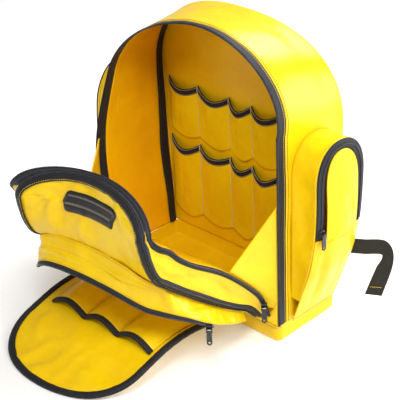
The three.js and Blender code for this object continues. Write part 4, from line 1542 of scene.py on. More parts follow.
LID_PROFILE = [
    {"along": 0.0, "back_out": 0.02, "back_up": 0.174, "front_out": 0.055, "front_up": 0.152, "hollow": 0.0},
    {"along": 0.12, "back_out": 0.085, "back_up": 0.318, "front_out": 0.14, "front_up": 0.22, "hollow": 0.0},
    {"along": 0.24, "back_out": 0.213, "back_up": 0.439, "front_out": 0.236, "front_up": 0.261, "hollow": 0.0},
    {"along": 0.36, "back_out": 0.368, "back_up": 0.561, "front_out": 0.378, "front_up": 0.337, "hollow": 0.02},
    {"along": 0.46, "back_out": 0.469, "back_up": 0.629, "front_out": 0.538, "front_up": 0.432, "hollow": 0.05},
    {"along": 0.58, "back_out": 0.66, "back_up": 0.731, "front_out": 0.698, "front_up": 0.534, "hollow": 0.08},
    {"along": 0.7, "back_out": 0.765, "back_up": 0.803, "front_out": 0.844, "front_up": 0.629, "hollow": 0.12},
    {"along": 0.76, "back_out": 0.82, "back_up": 0.856, "front_out": 0.908, "front_up": 0.674, "hollow": 0.2},
    {"along": 0.84, "back_out": 0.87, "back_up": 0.882, "front_out": 0.965, "front_up": 0.773, "hollow": 0.5},
    {"along": 0.92, "back_out": 0.9, "back_up": 0.905, "front_out": 0.992, "front_up": 0.86, "hollow": 0.8},
    {"along": 1.0, "back_out": 0.915, "back_up": 0.925, "front_out": 1.01, "front_up": 0.94, "hollow": 1.0},
]


# Drawn folds of the lid's front, placed by place across and row
LID_FOLDS = [
    (-3.2, (-0.86, 0.92), (-0.62, 1.06), 0.06),
    (2.6, (-0.66, 0.86), (-0.5, 1.1), 0.055),
    (-2.6, (-0.46, 0.86), (-0.36, 1.06), 0.06),
    (2.2, (-0.14, 0.84), (-0.02, 1.0), 0.06),
    (-2.4, (-0.95, 1.3), (-0.7, 1.12), 0.08),
    (2.0, (0.52, 1.8), (0.66, 1.0), 0.07),
    (-2.6, (0.72, 1.7), (0.86, 0.98), 0.06),
    (-1.6, (-0.3, 1.85), (0.1, 1.7), 0.08),
    (1.4, (-0.7, 1.75), (-0.4, 1.45), 0.1),
]


@dataclass(frozen=True)
class Lid:
    """The lid, pulled forward: two panels, side gussets, two zip edges, two stays and a bare patch."""

    back_width: float = 314.0
    front_width: float = 272.0
    shift: float = 15.0
    reach: float = 218.0
    rise: float = 264.0
    arch_rise: float = 45.0
    roundness: float = 2.1
    lean: float = math.radians(9.0)
    hollow: float = 28.0
    twist: float = 10.0
    hinge_run: float = 0.03
    hinge_half: float = 166.5
    hinge_front: float = -67.2
    hinge_top: float = 70.0
    hinge_foot: float = 30.0
    hinge_row: float = -0.12
    back_pinch: float = 24.0
    front_pinch: float = 18.0
    lid_zip: float = 9.0
    middle_zip: float = 10.5
    back_inset: float = 6.0
    front_inset: float = 2.4
    wrap: float = 8.0
    shared: float = 0.84
    patch_left: float = -69.0
    patch_width: float = 112.0
    patch_lean: float = 12.0
    patch_low: float = 0.11
    patch_high: float = 0.52
    noise: Crinkle = field(default_factory=lambda: Crinkle(31))

    def point(self, face: str, across: Array, climb: Array, inset: float = 0.0) -> Array:
        """A point of a panel's plane, at a climb of 1 where the arch springs and 2 at its top.

        Args:
            face: the panel, "back" or "front".
            across: places across, from -1 to 1.
            climb: places up, from 0 at the foot.
            inset: how far inside the outline, in millimetres.

        Returns:
            The points.
        """
        leg = np.minimum(climb, 1.0)
        over = np.maximum(climb - 1.0, 0.0) * self.arch_rise
        half = (self.back_width if face == "back" else self.front_width) / 2 - inset
        hollow = self.hollow * follow(LID_PROFILE, "hollow", leg) * (1 - across * across)
        pinch = (
            self.back_pinch * np.maximum(across, 0)
            if face == "back"
            else self.front_pinch * np.minimum(across, 0)
        )
        return points(
            across * half - self.shift * leg - pinch * leg**3,
            hollow
            + over * math.sin(self.lean)
            - BODY.depth / 2
            - self.reach * follow(LID_PROFILE, f"{face}_out", leg),
            self.rise * follow(LID_PROFILE, f"{face}_up", leg)
            + over * math.cos(self.lean)
            + self.twist * across * leg,
        )

    def edge(self, face: str, way: Array, inset: Array = 0.0) -> Array:
        """A point on a panel's outline or inside it, from its +X hinge end over the arch.

        Args:
            face: the panel, "back" or "front".
            way: shares of the way round, from the +X foot to the -X foot.
            inset: how far inside the edge, in millimetres.

        Returns:
            The points.
        """
        leg = np.clip(np.minimum(way, 1 - way) / LEG_WAY, 0, 1)
        angle = math.pi * (np.clip(way, LEG_WAY, 1 - LEG_WAY) - LEG_WAY) / (1 - 2 * LEG_WAY)
        on_leg = leg < 1
        across = np.where(on_leg, np.where(way < 0.5, 1.0, -1.0), power(np.cos(angle), self.roundness))
        climb = np.where(on_leg, leg, 1 + power(np.sin(angle), self.roundness) * (1 - inset / self.arch_rise))
        return self.point(face, across, climb, inset)

    def lid_tape(self, way: Array) -> Array:
        """The width of the lid zip's tape, which meets the middle zip's tape over the arch.

        Args:
            way: shares of the way round, from the +X foot to the -X foot.

        Returns:
            The widths, in millimetres.
        """
        along = np.clip(way, 0.0, 1.0)
        depth = np.linalg.norm(self.edge("back", along) - self.edge("front", along), axis=-1)
        over = smooth(LEG_WAY, LEG_WAY + 0.05, np.minimum(along, 1 - along))
        return lerp(
            np.full(np.shape(along), self.lid_zip),
            np.maximum(depth - self.middle_zip - 0.2, self.lid_zip),
            over,
        )

    def side(self, way: Array, distance: Array) -> Array:
        """A point on the lid's side, at a distance from its back edge or, if negative, its front edge.

        Args:
            way: shares of the way round, from the +X foot to the -X foot.
            distance: millimetres from the back edge, or from the front edge if negative.

        Returns:
            The points.
        """
        along = np.clip(way, 0.0, 1.0)
        back, front = self.edge("back", along), self.edge("front", along)
        depth = np.linalg.norm(back - front, axis=-1)
        share = np.where(distance < 0, depth + distance, distance) / depth
        past = np.clip(np.maximum(-way, way - 1.0) / self.hinge_run, 0.0, 1.0)
        corner = points(
            np.where(way < 0.5, 1.0, -1.0) * self.hinge_half,
            self.hinge_front,
            lerp(self.hinge_top, self.hinge_foot, share),
        )
        return lerp(lerp(back, front, share[..., None]), corner, past[..., None])

    def panel(self, face: str, across: Array, row: Array) -> Array:
        """A point of a panel, on rows from its hinge to its arch.

        Args:
            face: the panel, "back" or "front".
            across: places across, from -1 to 1.
            row: places on the rows, from the hinge.

        Returns:
            The points.
        """
        inset = self.back_inset if face == "back" else self.front_inset
        top = 1 + arch_top(across, self.roundness) - inset / self.arch_rise
        fan = lerp(self.shared, top, (row - self.shared) / (2 - self.shared))
        climb = np.clip(np.where(row <= self.shared, row, fan), 0.0, None)
        hinge = points(
            across * self.hinge_half, self.hinge_front + 0.8, np.full(np.shape(across), self.hinge_foot - 4.0)
        )
        past = np.clip(row / self.hinge_row, 0.0, 1.0)
        return lerp(self.point(face, across, climb, inset), hinge, past[..., None])

    def front_dents(self, u: Array, v: Array, p: Array) -> Array:
        """Dimples and drawn folds of the front panel.

        Args:
            u: places across, from -1 to 1.
            v: places on the rows, from the hinge.
            p: the surface's points.

        Returns:
            The height at each point, in millimetres.
        """
        edge = (1 - np.abs(u) ** 6) * smooth(2.0, 1.9, v) * smooth(0.0, 0.1, v)
        flat = smooth(0.5, 0.34, np.abs(u - 0.04)) * smooth(0.9, 1.0, v) * smooth(1.56, 1.44, v)
        edge = edge * (1 - 0.85 * flat)
        folds = fold_sum(u, v, LID_FOLDS)
        return edge * (1.5 * folds + 2.0 * self.noise.soft(p, 70.0) + 0.7 * self.noise.soft(p, 30.0))

    def build(self) -> None:
        """Builds and dresses the lid."""
        columns = np.sin(np.linspace(-0.5, 0.5, 80) * math.pi)
        rows = np.concatenate([np.linspace(0, self.shared, 50), np.linspace(self.shared, 2.0, 56)[1:]])
        half = BODY.cloth / 2
        back_dents = (
            lambda u, v, p: (1 - u**6)
            * smooth(0, 0.2, v)
            * smooth(2.0, 1.85, v)
            * 2.0
            * self.noise.soft(p, 95.0)
        )
        back = sheet_of(
            "lid_back_cloth", lambda u, v: self.panel("back", u, v), columns, rows, -half, half, back_dents
        )
        dress(back, Finish.INSIDE, ["lid_back"])
        rows = np.concatenate([np.linspace(self.hinge_row, 0, 6)[:-1], rows])
        front = sheet_of(
            "lid_front_cloth",
            lambda u,
            v: self.panel("front", u, v),
            columns,
            rows,
            -half,
            half,
            self.front_dents,
        )
        dress(front, Finish.SHELL, ["lid_front"])
        self.build_zips()
        self.build_gussets()
        self.build_patch()
        for name, side in (("right_stay", 1), ("left_stay", -1)):
            self.build_stay(name, side)

    def build_zips(self) -> None:
        """Builds both zip edges: tape, rolled outer binding, coil and thread."""
        around = ways(70, 100)
        for name, near, far, coil_at, thread_at in (
            ("lid_zip", 0.0, self.lid_zip, 1.6, 6.8),
            ("middle_zip", -self.middle_zip, -0.01, -5.2, -1.8),
        ):
            grows = name == "lid_zip"

            def band(
                way: Array, share: Array, near: float = near, far: float = far, grows: bool = grows
            ) -> Array:
                """The tape between the two edges of its band."""
                return self.side(way, share * self.lid_tape(way) if grows else lerp(near, far, share))

            crown = lambda u, v, p: 1.3 * np.sin(math.pi * v) ** 0.7
            tape = sheet_of(f"{name}_tape", band, around, np.linspace(0, 1, 9), 0.0, -BODY.tape, crown)
            dress(tape, Finish.TAPE, [name])
            at = (coil_at - near) / (far - near)
            line = lambda s, band=band, at=at: self.lifted(band, s, at, 1.6)
            dress(coil_on(f"{name}_coil", line, ways(110, 170), 2.8), Finish.COIL)
            share = (thread_at - near) / (far - near)
            row = stitches_on(
                f"{name}_thread", band, around, np.full(around.shape, share), 1.4, FINE_SEAM
            )
            dress(row, Finish.DARK_THREAD)
        wrap = sheet_of("middle_zip_binding", self.rim, around, np.linspace(0, 1, 7), 1.0, 2.4, self.rim_roll)
        dress(wrap, Finish.BINDING, ["middle_zip"])
        row = stitches_on(
            "middle_zip_edge_thread", self.rim, around, np.full(around.shape, 0.8), 2.6, Thread(4.0, 0.4)
        )
        dress(row, Finish.YELLOW_THREAD)

    def rim(self, way: Array, share: Array) -> Array:
        """The front panel's rim under the binding that wraps round it."""
        return self.edge("front", way, share * self.wrap)

    def rim_roll(self, way: Array, share: Array, place: Array) -> Array:
        """The rounded and puckered height of the binding on the rim."""
        return 0.7 * np.sin(math.pi * share) ** 0.7 + 0.3 * self.noise.soft(place, 14.0)

    @staticmethod
    def lifted(surface: Surface, u: Array, v: float, lift: float) -> Array:
        """Points at a height over a surface's line.

        Args:
            surface: gives points for two coordinates.
            u: the first surface coordinate.
            v: the second coordinate, the same for all.
            lift: how far above the surface.

        Returns:
            The points.
        """
        level = np.full(np.shape(u), v)
        step = 1e-3
        ahead = surface(np.minimum(u + step, 1), level) - surface(np.maximum(u - step, 0), level)
        beside = surface(u, level + step) - surface(u, level - step)
        return surface(u, level) + unit(np.cross(ahead, beside)) * lift

    def build_gussets(self) -> None:
        """Builds the cloth between the two zips on each side."""
        for name, low, high in (
            ("right_lid_gusset", -self.hinge_run, LEG_WAY + 0.04),
            ("left_lid_gusset", 0.96 - LEG_WAY, 1 + self.hinge_run),
        ):
            def gusset(way: Array, share: Array) -> Array:
                """The cloth between the tapes, which widens past them toward the body.

                Args:
                    way: shares of the way round, from the +X foot to the -X foot.
                    share: a share of the width, from 0 to 1.

                Returns:
                    The points.
                """
                open_share = 1 - np.clip(np.maximum(-way, way - 1.0) / (0.3 * self.hinge_run), 0.0, 1.0)
                near = self.side(way, (self.lid_zip + BODY.gap) * open_share)
                far = self.side(way, -(self.middle_zip + BODY.gap) * open_share - 1e-6)
                return lerp(near, far, np.asarray(share)[..., None])

            slack = lambda u, v, p: np.sin(math.pi * v) * (
                2.2 * self.noise.soft(p, 58.0) + 1.0 * self.noise.soft(p, 24.0) - 1.6
            )
            cloth = sheet_of(
                f"{name}_cloth",
                gusset,
                np.linspace(low, high, 90),
                np.linspace(0, 1, 24),
                0.0,
                -BODY.cloth,
                slack,
            )
            dress(cloth, Finish.SHELL, [name])

    def build_stay(self, name: str, side: int) -> None:
        """Builds a cloth triangle from the body's edge to the lid.

        Args:
            name: the stay's name.
            side: 1 for the +X side, -1 for the other.
        """
        front = BODY.front
        low = LEG_WAY * (58.0 - front.foot) / (front.spring - front.foot)
        high = LEG_WAY * (232.0 - front.foot) / (front.spring - front.foot)

        def surface(reach: Array, turn: Array) -> Array:
            """A point of the stay, between the body's edge and the lid.

            Args:
                reach: shares of the edge that is joined, from its foot.
                turn: 0 on the body, 1 on the lid.

            Returns:
                The points.
            """
            way = lerp(low, high, reach)
            body = BODY.plain_wall(
                way if side > 0 else 1 - way, np.full(np.shape(way), 3.0 / BODY.depth), BODY.cloth + 2.1
            )
            on_lid = self.point(
                "back", np.full(np.shape(way), float(side)), lerp(0.04, 0.36, reach), self.back_inset
            )
            return lerp(body, on_lid + np.array([0.0, 2.6, 1.2]), np.asarray(turn)[..., None])

        soft = lambda u, v, p: side * np.sin(math.pi * v) * np.sin(math.pi * u) ** 0.5 * (
            2.6 * self.noise.soft(p, 80.0) + 0.8 * self.noise.soft(p, 34.0)
        )
        cloth = sheet_of(
            f"{name}_cloth",
            surface,
            np.linspace(0, 1, 50),
            np.linspace(0, 1, 40),
            0.0,
            side * BODY.cloth,
            soft,
        )
        dress(two_faced(cloth, Finish.SHELL, Finish.SHELL), Finish.SHELL, [name])
        edge = np.linspace(0.02, 0.98, 40)
        row = stitches_on(
            f"{name}_thread", surface, np.full(edge.shape, 0.965), edge, -side * 0.3, SEAM
        )
        dress(row, Finish.YELLOW_THREAD)

    def patch_place(self, u: Array, v: Array) -> Tuple[Array, Array]:
        """The panel's coordinates under a place of the patch.

        Args:
            u: places across the patch, from 0 to 1.
            v: places up the patch, from 0 to 1.

        Returns:
            The panel's coordinates, across and along.
        """
        across = (self.patch_left + u * self.patch_width + self.patch_lean * v + self.shift) / (
            self.front_width / 2
        )
        return across, lerp(self.shared, 2.0, lerp(self.patch_low, self.patch_high, v))

    def build_patch(self) -> None:
        """Builds the bare rubber patch: a plate with a raised border and two raised bars."""
        half = BODY.cloth / 2

        def surface(u: Array, v: Array) -> Array:
            """A point of the panel under the patch."""
            return self.panel("front", *self.patch_place(u, v))

        tall = float(
            np.linalg.norm(surface(np.array(0.5), np.array(1.0)) - surface(np.array(0.5), np.array(0.0)))
        )

        def plate(u: Array, v: Array, p: Array) -> Array:
            """The raised border and bars on a plate that follows the panel's dents.

            Args:
                u: the first surface coordinate.
                v: the second surface coordinate.
                p: the surface's points.

            Returns:
                The height at each point, in millimetres.
            """
            x, z = np.minimum(u, 1 - u) * self.patch_width, np.minimum(v, 1 - v) * tall
            corner = 6.0
            near = corner - np.hypot(np.maximum(corner - x, 0), np.maximum(corner - z, 0))
            near = np.where((x < corner) & (z < corner), near, np.minimum(x, z))
            border = smooth(0.0, 0.8, near) * smooth(2.7, 2.0, near)
            bar = smooth(3.1, 3.5, z) * smooth(6.1, 5.7, z) * smooth(4.4, 5.0, x)
            lying = self.front_dents(*self.patch_place(u, v), p)
            return lying + 2.4 * smooth(-0.8, 0.4, near) - 2.4 + 0.8 * border + 0.7 * bar

        across, along = np.linspace(0, 1, 120), np.linspace(0, 1, 72)
        patch = sheet_of("patch_plate", surface, across, along, half + 0.2, half + 2.2, plate)
        u, v = np.meshgrid((across[1:] + across[:-1]) / 2, (along[1:] + along[:-1]) / 2)
        z, x = np.minimum(v, 1 - v) * tall, np.minimum(u, 1 - u) * self.patch_width
        bars = ((z > 3.3) & (z < 5.9) & (x > 4.8)).ravel()
        dress(two_faced(patch, Finish.RUBBER, Finish.BAR, bars), Finish.RUBBER, ["patch"])


LID = Lid()


# Organizer pocket and its flap

STRIP_PATH = [
    {"along": 0.0, "across": 0.95, "climb": 0.1, "spread": 0.12, "forward": 0.05, "drop": 0.3},
    {"along": 0.12, "across": 0.95, "climb": 0.28, "spread": 0.28, "forward": 0.02, "drop": 0.42},
    {"along": 0.24, "across": 0.95, "climb": 0.46, "spread": 0.45, "forward": 0.02, "drop": 0.6},
    {"along": 0.32, "across": 0.94, "climb": 0.6, "spread": 0.36, "forward": -0.12, "drop": 0.8},
    {"along": 0.38, "across": 0.88, "climb": 0.7, "spread": 0.12, "forward": -0.1, "drop": 0.95},
    {"along": 0.44, "across": 0.6, "climb": 0.775, "spread": 0.05, "forward": 0.1, "drop": 0.95},
    {"along": 0.5, "across": 0.0, "climb": 0.8, "spread": 0.0, "forward": 0.36, "drop": 0.78},
    {"along": 0.56, "across": -0.6, "climb": 0.79, "spread": 0.0, "forward": 0.34, "drop": 0.78},
    {"along": 0.62, "across": -0.9, "climb": 0.73, "spread": 0.0, "forward": 0.16, "drop": 0.92},
    {"along": 0.68, "across": -0.94, "climb": 0.6, "spread": -0.2, "forward": 0.0, "drop": 0.86},
    {"along": 0.76, "across": -0.95, "climb": 0.46, "spread": -0.3, "forward": 0.0, "drop": 0.6},
    {"along": 0.88, "across": -0.95, "climb": 0.28, "spread": -0.2, "forward": 0.0, "drop": 0.3},
    {"along": 1.0, "across": -0.95, "climb": 0.16, "spread": -0.1, "forward": 0.05, "drop": 0.14},
]


# Drawn folds of the strip, placed by share along and down
STRIP_FOLDS = [
    (3.4, (0.345, 0.0), (0.36, 1.0), 0.012),
    (-3.2, (0.375, 0.1), (0.385, 1.0), 0.014),
    (2.6, (0.41, 0.2), (0.47, 0.55), 0.02),
    (-2.4, (0.45, 0.6), (0.54, 0.4), 0.022),
    (2.6, (0.53, 0.7), (0.6, 0.45), 0.02),
    (-2.8, (0.61, 0.2), (0.64, 0.9), 0.014),
    (2.4, (0.66, 0.1), (0.67, 0.9), 0.012),
    (1.8, (0.2, 0.2), (0.3, 0.8), 0.02),
]


@dataclass(frozen=True)
class OrganizerStrip:
    """The organizer pocket's gusset, hanging open below the lid's front, with its zip half."""

    width: float = 56.0
    zip_share: float = 0.17
    clearance: float = 3.4
    zip_span: float = 0.27
    noise: Crinkle = field(default_factory=lambda: Crinkle(47))

    def point(self, along: Array, drop: Array) -> Array:
        """A point along the lid's front, at a share of the strip's width down.

        Args:
            along: shares of the length, from its start.
            drop: a share of the strip's width down.

        Returns:
            The points.
        """
        across = follow(STRIP_PATH, "across", along)
        climb = follow(STRIP_PATH, "climb", along)
        step = 1e-3
        wide = LID.point("front", np.minimum(across + step, 1), climb) - LID.point(
            "front", np.maximum(across - step, -1), climb
        )
        up = (
            LID.point("front", across, np.minimum(climb + step, 1))
            - LID.point("front", across, climb - step)
        )
        away = unit(np.cross(wide, up)) * self.clearance
        hang = points(
            follow(STRIP_PATH, "spread", along),
            -follow(STRIP_PATH, "forward", along),
            -follow(STRIP_PATH, "drop", along),
        )
        return LID.point("front", across, climb) + away + hang * self.width * np.asarray(drop)[..., None]

    def cloth(self, along: Array, share: Array) -> Array:
        """The yellow part, above the zip."""
        return self.point(along, share * (1 - self.zip_share))

    def band(self, along: Array, share: Array) -> Array:
        """The zip half, along the lower edge."""
        start = 1 - self.zip_share + BODY.gap / self.width
        return self.point(along, lerp(start, 1.0, share))

    def slack(self, along: Array, share: Array, place: Array) -> Array:
        """Loose folds of the strip: upright at its corners, long and shallow below the lid.

        Args:
            along: shares of the length, from its start.
            share: a share of the width, from 0 to 1.
            place: the surface's points.

        Returns:
            The height at each point, in millimetres.
        """
        middle = smooth(0.0, 0.12, share) * smooth(1.0, 0.9, share)
        folds = fold_sum(along, share, STRIP_FOLDS)
        return middle * (folds + 1.5 * self.noise.soft(place, 48.0) + 0.6 * self.noise.soft(place, 21.0))

    def build(self) -> None:
        """Builds and dresses the strip."""
        along = np.linspace(0, 1, 220)
        cloth = sheet_of(
            "organizer_gusset_cloth", self.cloth, along, np.linspace(0, 1, 30), 0.0, -BODY.cloth, self.slack
        )
        dress(cloth, Finish.SHELL, ["organizer_gusset"])
        span = np.linspace(0.5 - self.zip_span, 0.5 + self.zip_span, 150)
        crown = lambda u, v, p: 0.9 * np.sin(math.pi * v)
        tape = sheet_of("organizer_zip_tape", self.band, span, np.linspace(0, 1, 7), 0.0, -BODY.tape, crown)
        dress(tape, Finish.TAPE, ["organizer_zip"])
        coil = coil_on(
            "organizer_zip_coil",
            lambda s: Lid.lifted(self.band, s, 0.78, 1.2),
            np.linspace(0.235, 0.765, 260),
            2.8,
        )
        dress(coil, Finish.COIL)
        rows = [
            stitches_on("row", self.cloth, along[4:-4], np.full(212, 0.955), 0.3, SEAM),
            stitches_on("row", self.cloth, along[4:-4], np.full(212, 0.05), 0.3, SEAM),
        ]
        share = np.linspace(0.05, 0.95, 20)
        rows += [
            stitches_on("row", self.cloth, np.full(20, at), share, 0.4, SEAM)
            for at in (0.352, 0.357)
        ]
        dress(joined("organizer_thread", rows), Finish.YELLOW_THREAD)
        row = stitches_on(
            "organizer_zip_thread", self.band, span, np.full(span.shape, 0.2), 0.9, FINE_SEAM
        )
        dress(row, Finish.DARK_THREAD)


FLAP_PROFILE = [
    {"along": 0.0, "out": 0.0, "up": 0.8},
    {"along": 0.18, "out": 0.18, "up": 0.9},
    {"along": 0.35, "out": 0.35, "up": 1.0},
    {"along": 0.5, "out": 0.5, "up": 0.9},
    {"along": 0.65, "out": 0.65, "up": 0.62},
    {"along": 0.8, "out": 0.8, "up": 0.3},
    {"along": 0.92, "out": 0.92, "up": 0.1},
    {"along": 1.0, "out": 1.0, "up": 0.06},
]


# Drawn folds of the flap's round end, placed by place across and row
FLAP_FOLDS = [
    (3.4, (-0.75, 0.66), (-0.5, 0.86), 0.07),
    (-1.8, (-0.4, 0.64), (-0.1, 0.86), 0.06),
    (3.6, (0.1, 0.74), (0.2, 0.93), 0.07),
    (-1.2, (0.5, 0.7), (0.7, 0.86), 0.05),
]


# Dips of a tool pocket's cloth, placed by place across and share along
TOOL_POCKET_DIPS = [
    (1.9, (-0.5, 0.12), (0.2, 0.34), 0.14),
    (-1.7, (0.4, 0.3), (-0.1, 0.6), 0.13),
    (1.5, (-0.4, 0.7), (0.3, 0.9), 0.12),
]


@dataclass(frozen=True)
class Flap:
    """The organizer's cover, let down forward, with a rolled binding and three open tool pockets."""

    width: float = 250.0
    length: float = 290.0
    round_length: float = 92.0
    roundness: float = 2.1
    height: float = 49.0
    drift: float = 16.0
    start: float = 79.2
    start_drift: float = 18.0
    binding_width: float = 11.0
    binding_foot: float = 9.0
    pocket_length: float = 150.0
    pocket_crown: float = 13.0
    pocket_count: int = 3
    pocket_margin: float = 20.0
    pocket_binding: float = 8.0
    pocket_foot: float = 12.0
    pocket_offset: float = 5.0
    foot_crown: float = 0.2
    shared: float = 0.62
    noise: Crinkle = field(default_factory=lambda: Crinkle(63))

    def point(self, across: Array, length: Array, inset: float = 0.0) -> Array:
        """A point of the flap's upper face.

        Args:
            across: places across, from -1 to 1.
            length: millimetres from the hinge.
            inset: how far inside the outline, in millimetres.

        Returns:
            The points.
        """
        share = length / self.length
        return points(
            across * (self.width / 2 - inset) - self.start_drift - self.drift * share,
            -self.start - self.length * follow(FLAP_PROFILE, "out", share),
            self.height * follow(FLAP_PROFILE, "up", share),
        )

    def panel(self, across: Array, row: Array) -> Array:
        """The panel, on rows from its hinge to its round end."""
        end = self.length - self.round_length + self.round_length * arch_top(across, self.roundness)
        spare = np.clip((row - self.shared) / (1 - self.shared), 0, 1)
        return self.point(across, lerp(self.length * np.minimum(row, self.shared), end, spare))

    def edge(self, way: Array, inset: Array) -> Array:
        """A point near the flap's edge, from its +X hinge end round to its -X hinge end.

        Args:
            way: shares of the way round, from the +X foot to the -X foot.
            inset: how far inside the edge, in millimetres.

        Returns:
            The points.
        """
        straight = self.length - self.round_length
        leg = np.clip(np.minimum(way, 1 - way) / LEG_WAY, 0, 1)
        angle = math.pi * (np.clip(way, LEG_WAY, 1 - LEG_WAY) - LEG_WAY) / (1 - 2 * LEG_WAY)
        on_leg = leg < 1
        side = np.where(way < 0.5, 1.0, -1.0)
        across = np.where(on_leg, side, power(np.cos(angle), self.roundness))
        over = straight + (self.round_length - inset) * power(np.sin(angle), self.roundness)
        length = np.where(on_leg, lerp(self.binding_foot, straight, leg), over)
        return self.point(across, length, inset)

    def dents(self, across: Array, row: Array, place: Array) -> Array:
        """Soft folds of the flap's round end, which lie toward the ground.

        Args:
            across: places across, from -1 to 1.
            row: places on the rows, from the hinge.
            place: the surface's points.

        Returns:
            The height at each point, in millimetres.
        """
        edge = (1 - np.abs(across) ** 6) * smooth(0.0, 0.08, row) * smooth(1.0, 0.93, row)
        folds = fold_sum(across, row, FLAP_FOLDS)
        turn = np.arctan2(row - 0.62, across * 0.43)
        pucker = 2.6 * np.sin(turn * 9.0 + 2.0 * self.noise.soft(place, 90.0)) * smooth(
            0.3, 0.9, np.hypot(across, (row - 0.5) * 2)
        )
        pucker = pucker * smooth(0.66, 0.8, row)
        lift = folds + pucker + 1.1 * self.noise.soft(place, 60.0) + 0.5 * self.noise.soft(place, 24.0)
        return -edge * np.where(lift < 0, 0.3 * lift, lift)

    def build(self) -> None:
        """Builds and dresses the flap."""
        across = np.sin(np.linspace(-0.5, 0.5, 90) * math.pi)
        rows = np.concatenate([np.linspace(0, self.shared, 60), np.linspace(self.shared, 1, 46)[1:]])
        panel = sheet_of("flap_cloth", self.panel, across, rows, 0.0, BODY.cloth, self.dents)
        dress(panel, Finish.SHELL, ["flap"])
        self.build_binding()
        for number in range(1, self.pocket_count + 1):
            self.build_pocket(number)

    def build_binding(self) -> None:
        """Builds the rolled binding round the flap's edge."""
        around = ways(70, 110)
        turn = np.linspace(0, 1, 25)
        section = np.stack(
            [
                np.interp(
                    turn,
                    [0, 0.36, 0.5, 0.64, 1.0],
                    [self.binding_width, 1.5, -1.8, 1.5, self.binding_width - 2],
                ),
                np.interp(turn, [0, 0.1, 0.36, 0.5, 0.64, 0.9, 1.0], [0.6, 2.6, 3.2, -1.0, -4.2, -3.6, -2.4]),
            ],
            axis=-1,
        )
        section = np.stack(
            [np.convolve(np.pad(c, 2, "edge"), np.ones(5) / 5, "valid") for c in section.T], axis=-1
        )
        u, k = np.meshgrid(around, np.arange(len(turn)))
        inset, lift = section[k, 0], section[k, 1]
        flat = self.edge(u, np.clip(inset, 0.0, None))
        inner = self.edge(u, np.full(u.shape, self.binding_width))
        rim = self.edge(u, np.zeros(u.shape))
        out = unit(rim - inner)
        grid = flat + out * np.clip(-inset, 0.0, None)[..., None]
        grid[..., 2] += lift + 0.35 * self.noise.soft(grid, 16.0)
        grid[..., 2] = np.maximum(grid[..., 2], 0.15)
        rows, columns = u.shape
        faces = grid_faces(rows, columns)
        faces += [
            (c, (rows - 1) * columns + c, (rows - 1) * columns + c + 1, c + 1) for c in range(columns - 1)
        ]
        faces.append(tuple(r * columns for r in range(rows)))
        faces.append(tuple(r * columns + columns - 1 for r in range(rows - 1, -1, -1)))
        uv = cloth_lengths(grid).reshape(-1, 2)
        binding = outward(new_object("flap_binding_tape", grid.reshape(-1, 3), faces, uv))
        dress(binding, Finish.BINDING, ["flap_binding"])
        path = self.edge(ways(160, 200), np.full(len(ways(160, 200)), 8.2)) + np.array([0.0, 0.0, 2.5])
        dress(thread_along("flap_binding_thread", evenly(path, 4.0), Thread(4.0, 0.42)), Finish.DARK_THREAD)

    def build_pocket(self, number: int) -> None:
        """Builds one tool pocket: a crowned channel with a rolled mouth.

        Args:
            number: the pocket's number, from 1 at -X.
        """
        width = (self.width - 2 * self.pocket_margin) / self.pocket_count
        middle = self.pocket_offset + (number - (self.pocket_count + 1) / 2) * width
        mouth = self.pocket_foot + self.pocket_length

        def channel(turn: Array, length: Array) -> Array:
            """A point of the channel that the pocket stands on.

            Args:
                turn: places across the channel, from -1 to 1.
                length: millimetres from the hinge.

            Returns:
                The points.
            """
            grown = lerp(
                self.foot_crown, 1.0, np.clip((length - self.pocket_foot) / self.pocket_length, 0, 1)
            )
            across = (middle + turn * (width / 2 - BODY.gap)) / (self.width / 2)
            crown = self.pocket_crown * grown * np.cos(math.pi / 2 * turn)
            raised = self.point(across, length)
            raised[..., 2] += BODY.cloth + 2 * BODY.gap + crown
            return raised

        def soft(u: Array, v: Array, p: Array) -> Array:
            """Dips of the pocket's cloth.

            Args:
                u: the first surface coordinate.
                v: the second surface coordinate.
                p: the surface's points.

            Returns:
                The height at each point, in millimetres.
            """
            share = (v - self.pocket_foot) / self.pocket_length
            body = np.cos(math.pi / 2 * u) ** 0.6 * smooth(0.0, 0.1, share) * smooth(1.0, 0.96, share)
            dips = fold_sum(u, share, TOOL_POCKET_DIPS)
            return body * ((1.0 if number % 2 else -0.8) * dips + 1.1 * self.noise.soft(p, 46.0))

        turns = np.linspace(-1, 1, 44)
        cloth = sheet_of(
            f"tool_pocket_cloth_{number}",
            channel,
            turns,
            np.linspace(self.pocket_foot, mouth, 60),
            0.0,
            BODY.cloth,
            soft,
        )
        dress(cloth, Finish.SHELL, [f"tool_pocket_{number}"])
        lengths = mouth + np.linspace(0.0, self.pocket_binding, 9)
        roll = lambda u, v, p: -1.1 * np.sin(math.pi * (v - mouth) / self.pocket_binding)
        band = sheet_of(f"tool_pocket_mouth_{number}", channel, turns, lengths, -0.6, BODY.cloth + 0.8, roll)
        dress(band, Finish.BINDING, [f"tool_pocket_binding_{number}"])
        rows = [
            stitches_on("mouth", channel, turns[1:-1], np.full(42, mouth + 1.4), -1.5, Thread(3.6, 0.36)),
            stitches_on("mouth", channel, turns[1:-1], np.full(42, mouth + 6.4), -1.9, Thread(3.6, 0.36)),
        ]
        dress(joined(f"tool_pocket_mouth_thread_{number}", rows), Finish.DARK_THREAD)
        span = np.linspace(self.pocket_foot + 2, mouth - 1, 60)
        sides = [
            stitches_on("side", channel, np.full(60, at), span, -0.3, FINE_SEAM)
            for at in (-0.93, 0.93)
        ]
        foot = stitches_on(
            "foot", channel, turns[2:-2], np.full(40, self.pocket_foot + 3.0), -0.3, FINE_SEAM
        )
        dress(joined(f"tool_pocket_thread_{number}", [*sides, foot]), Finish.YELLOW_THREAD)


# Straps

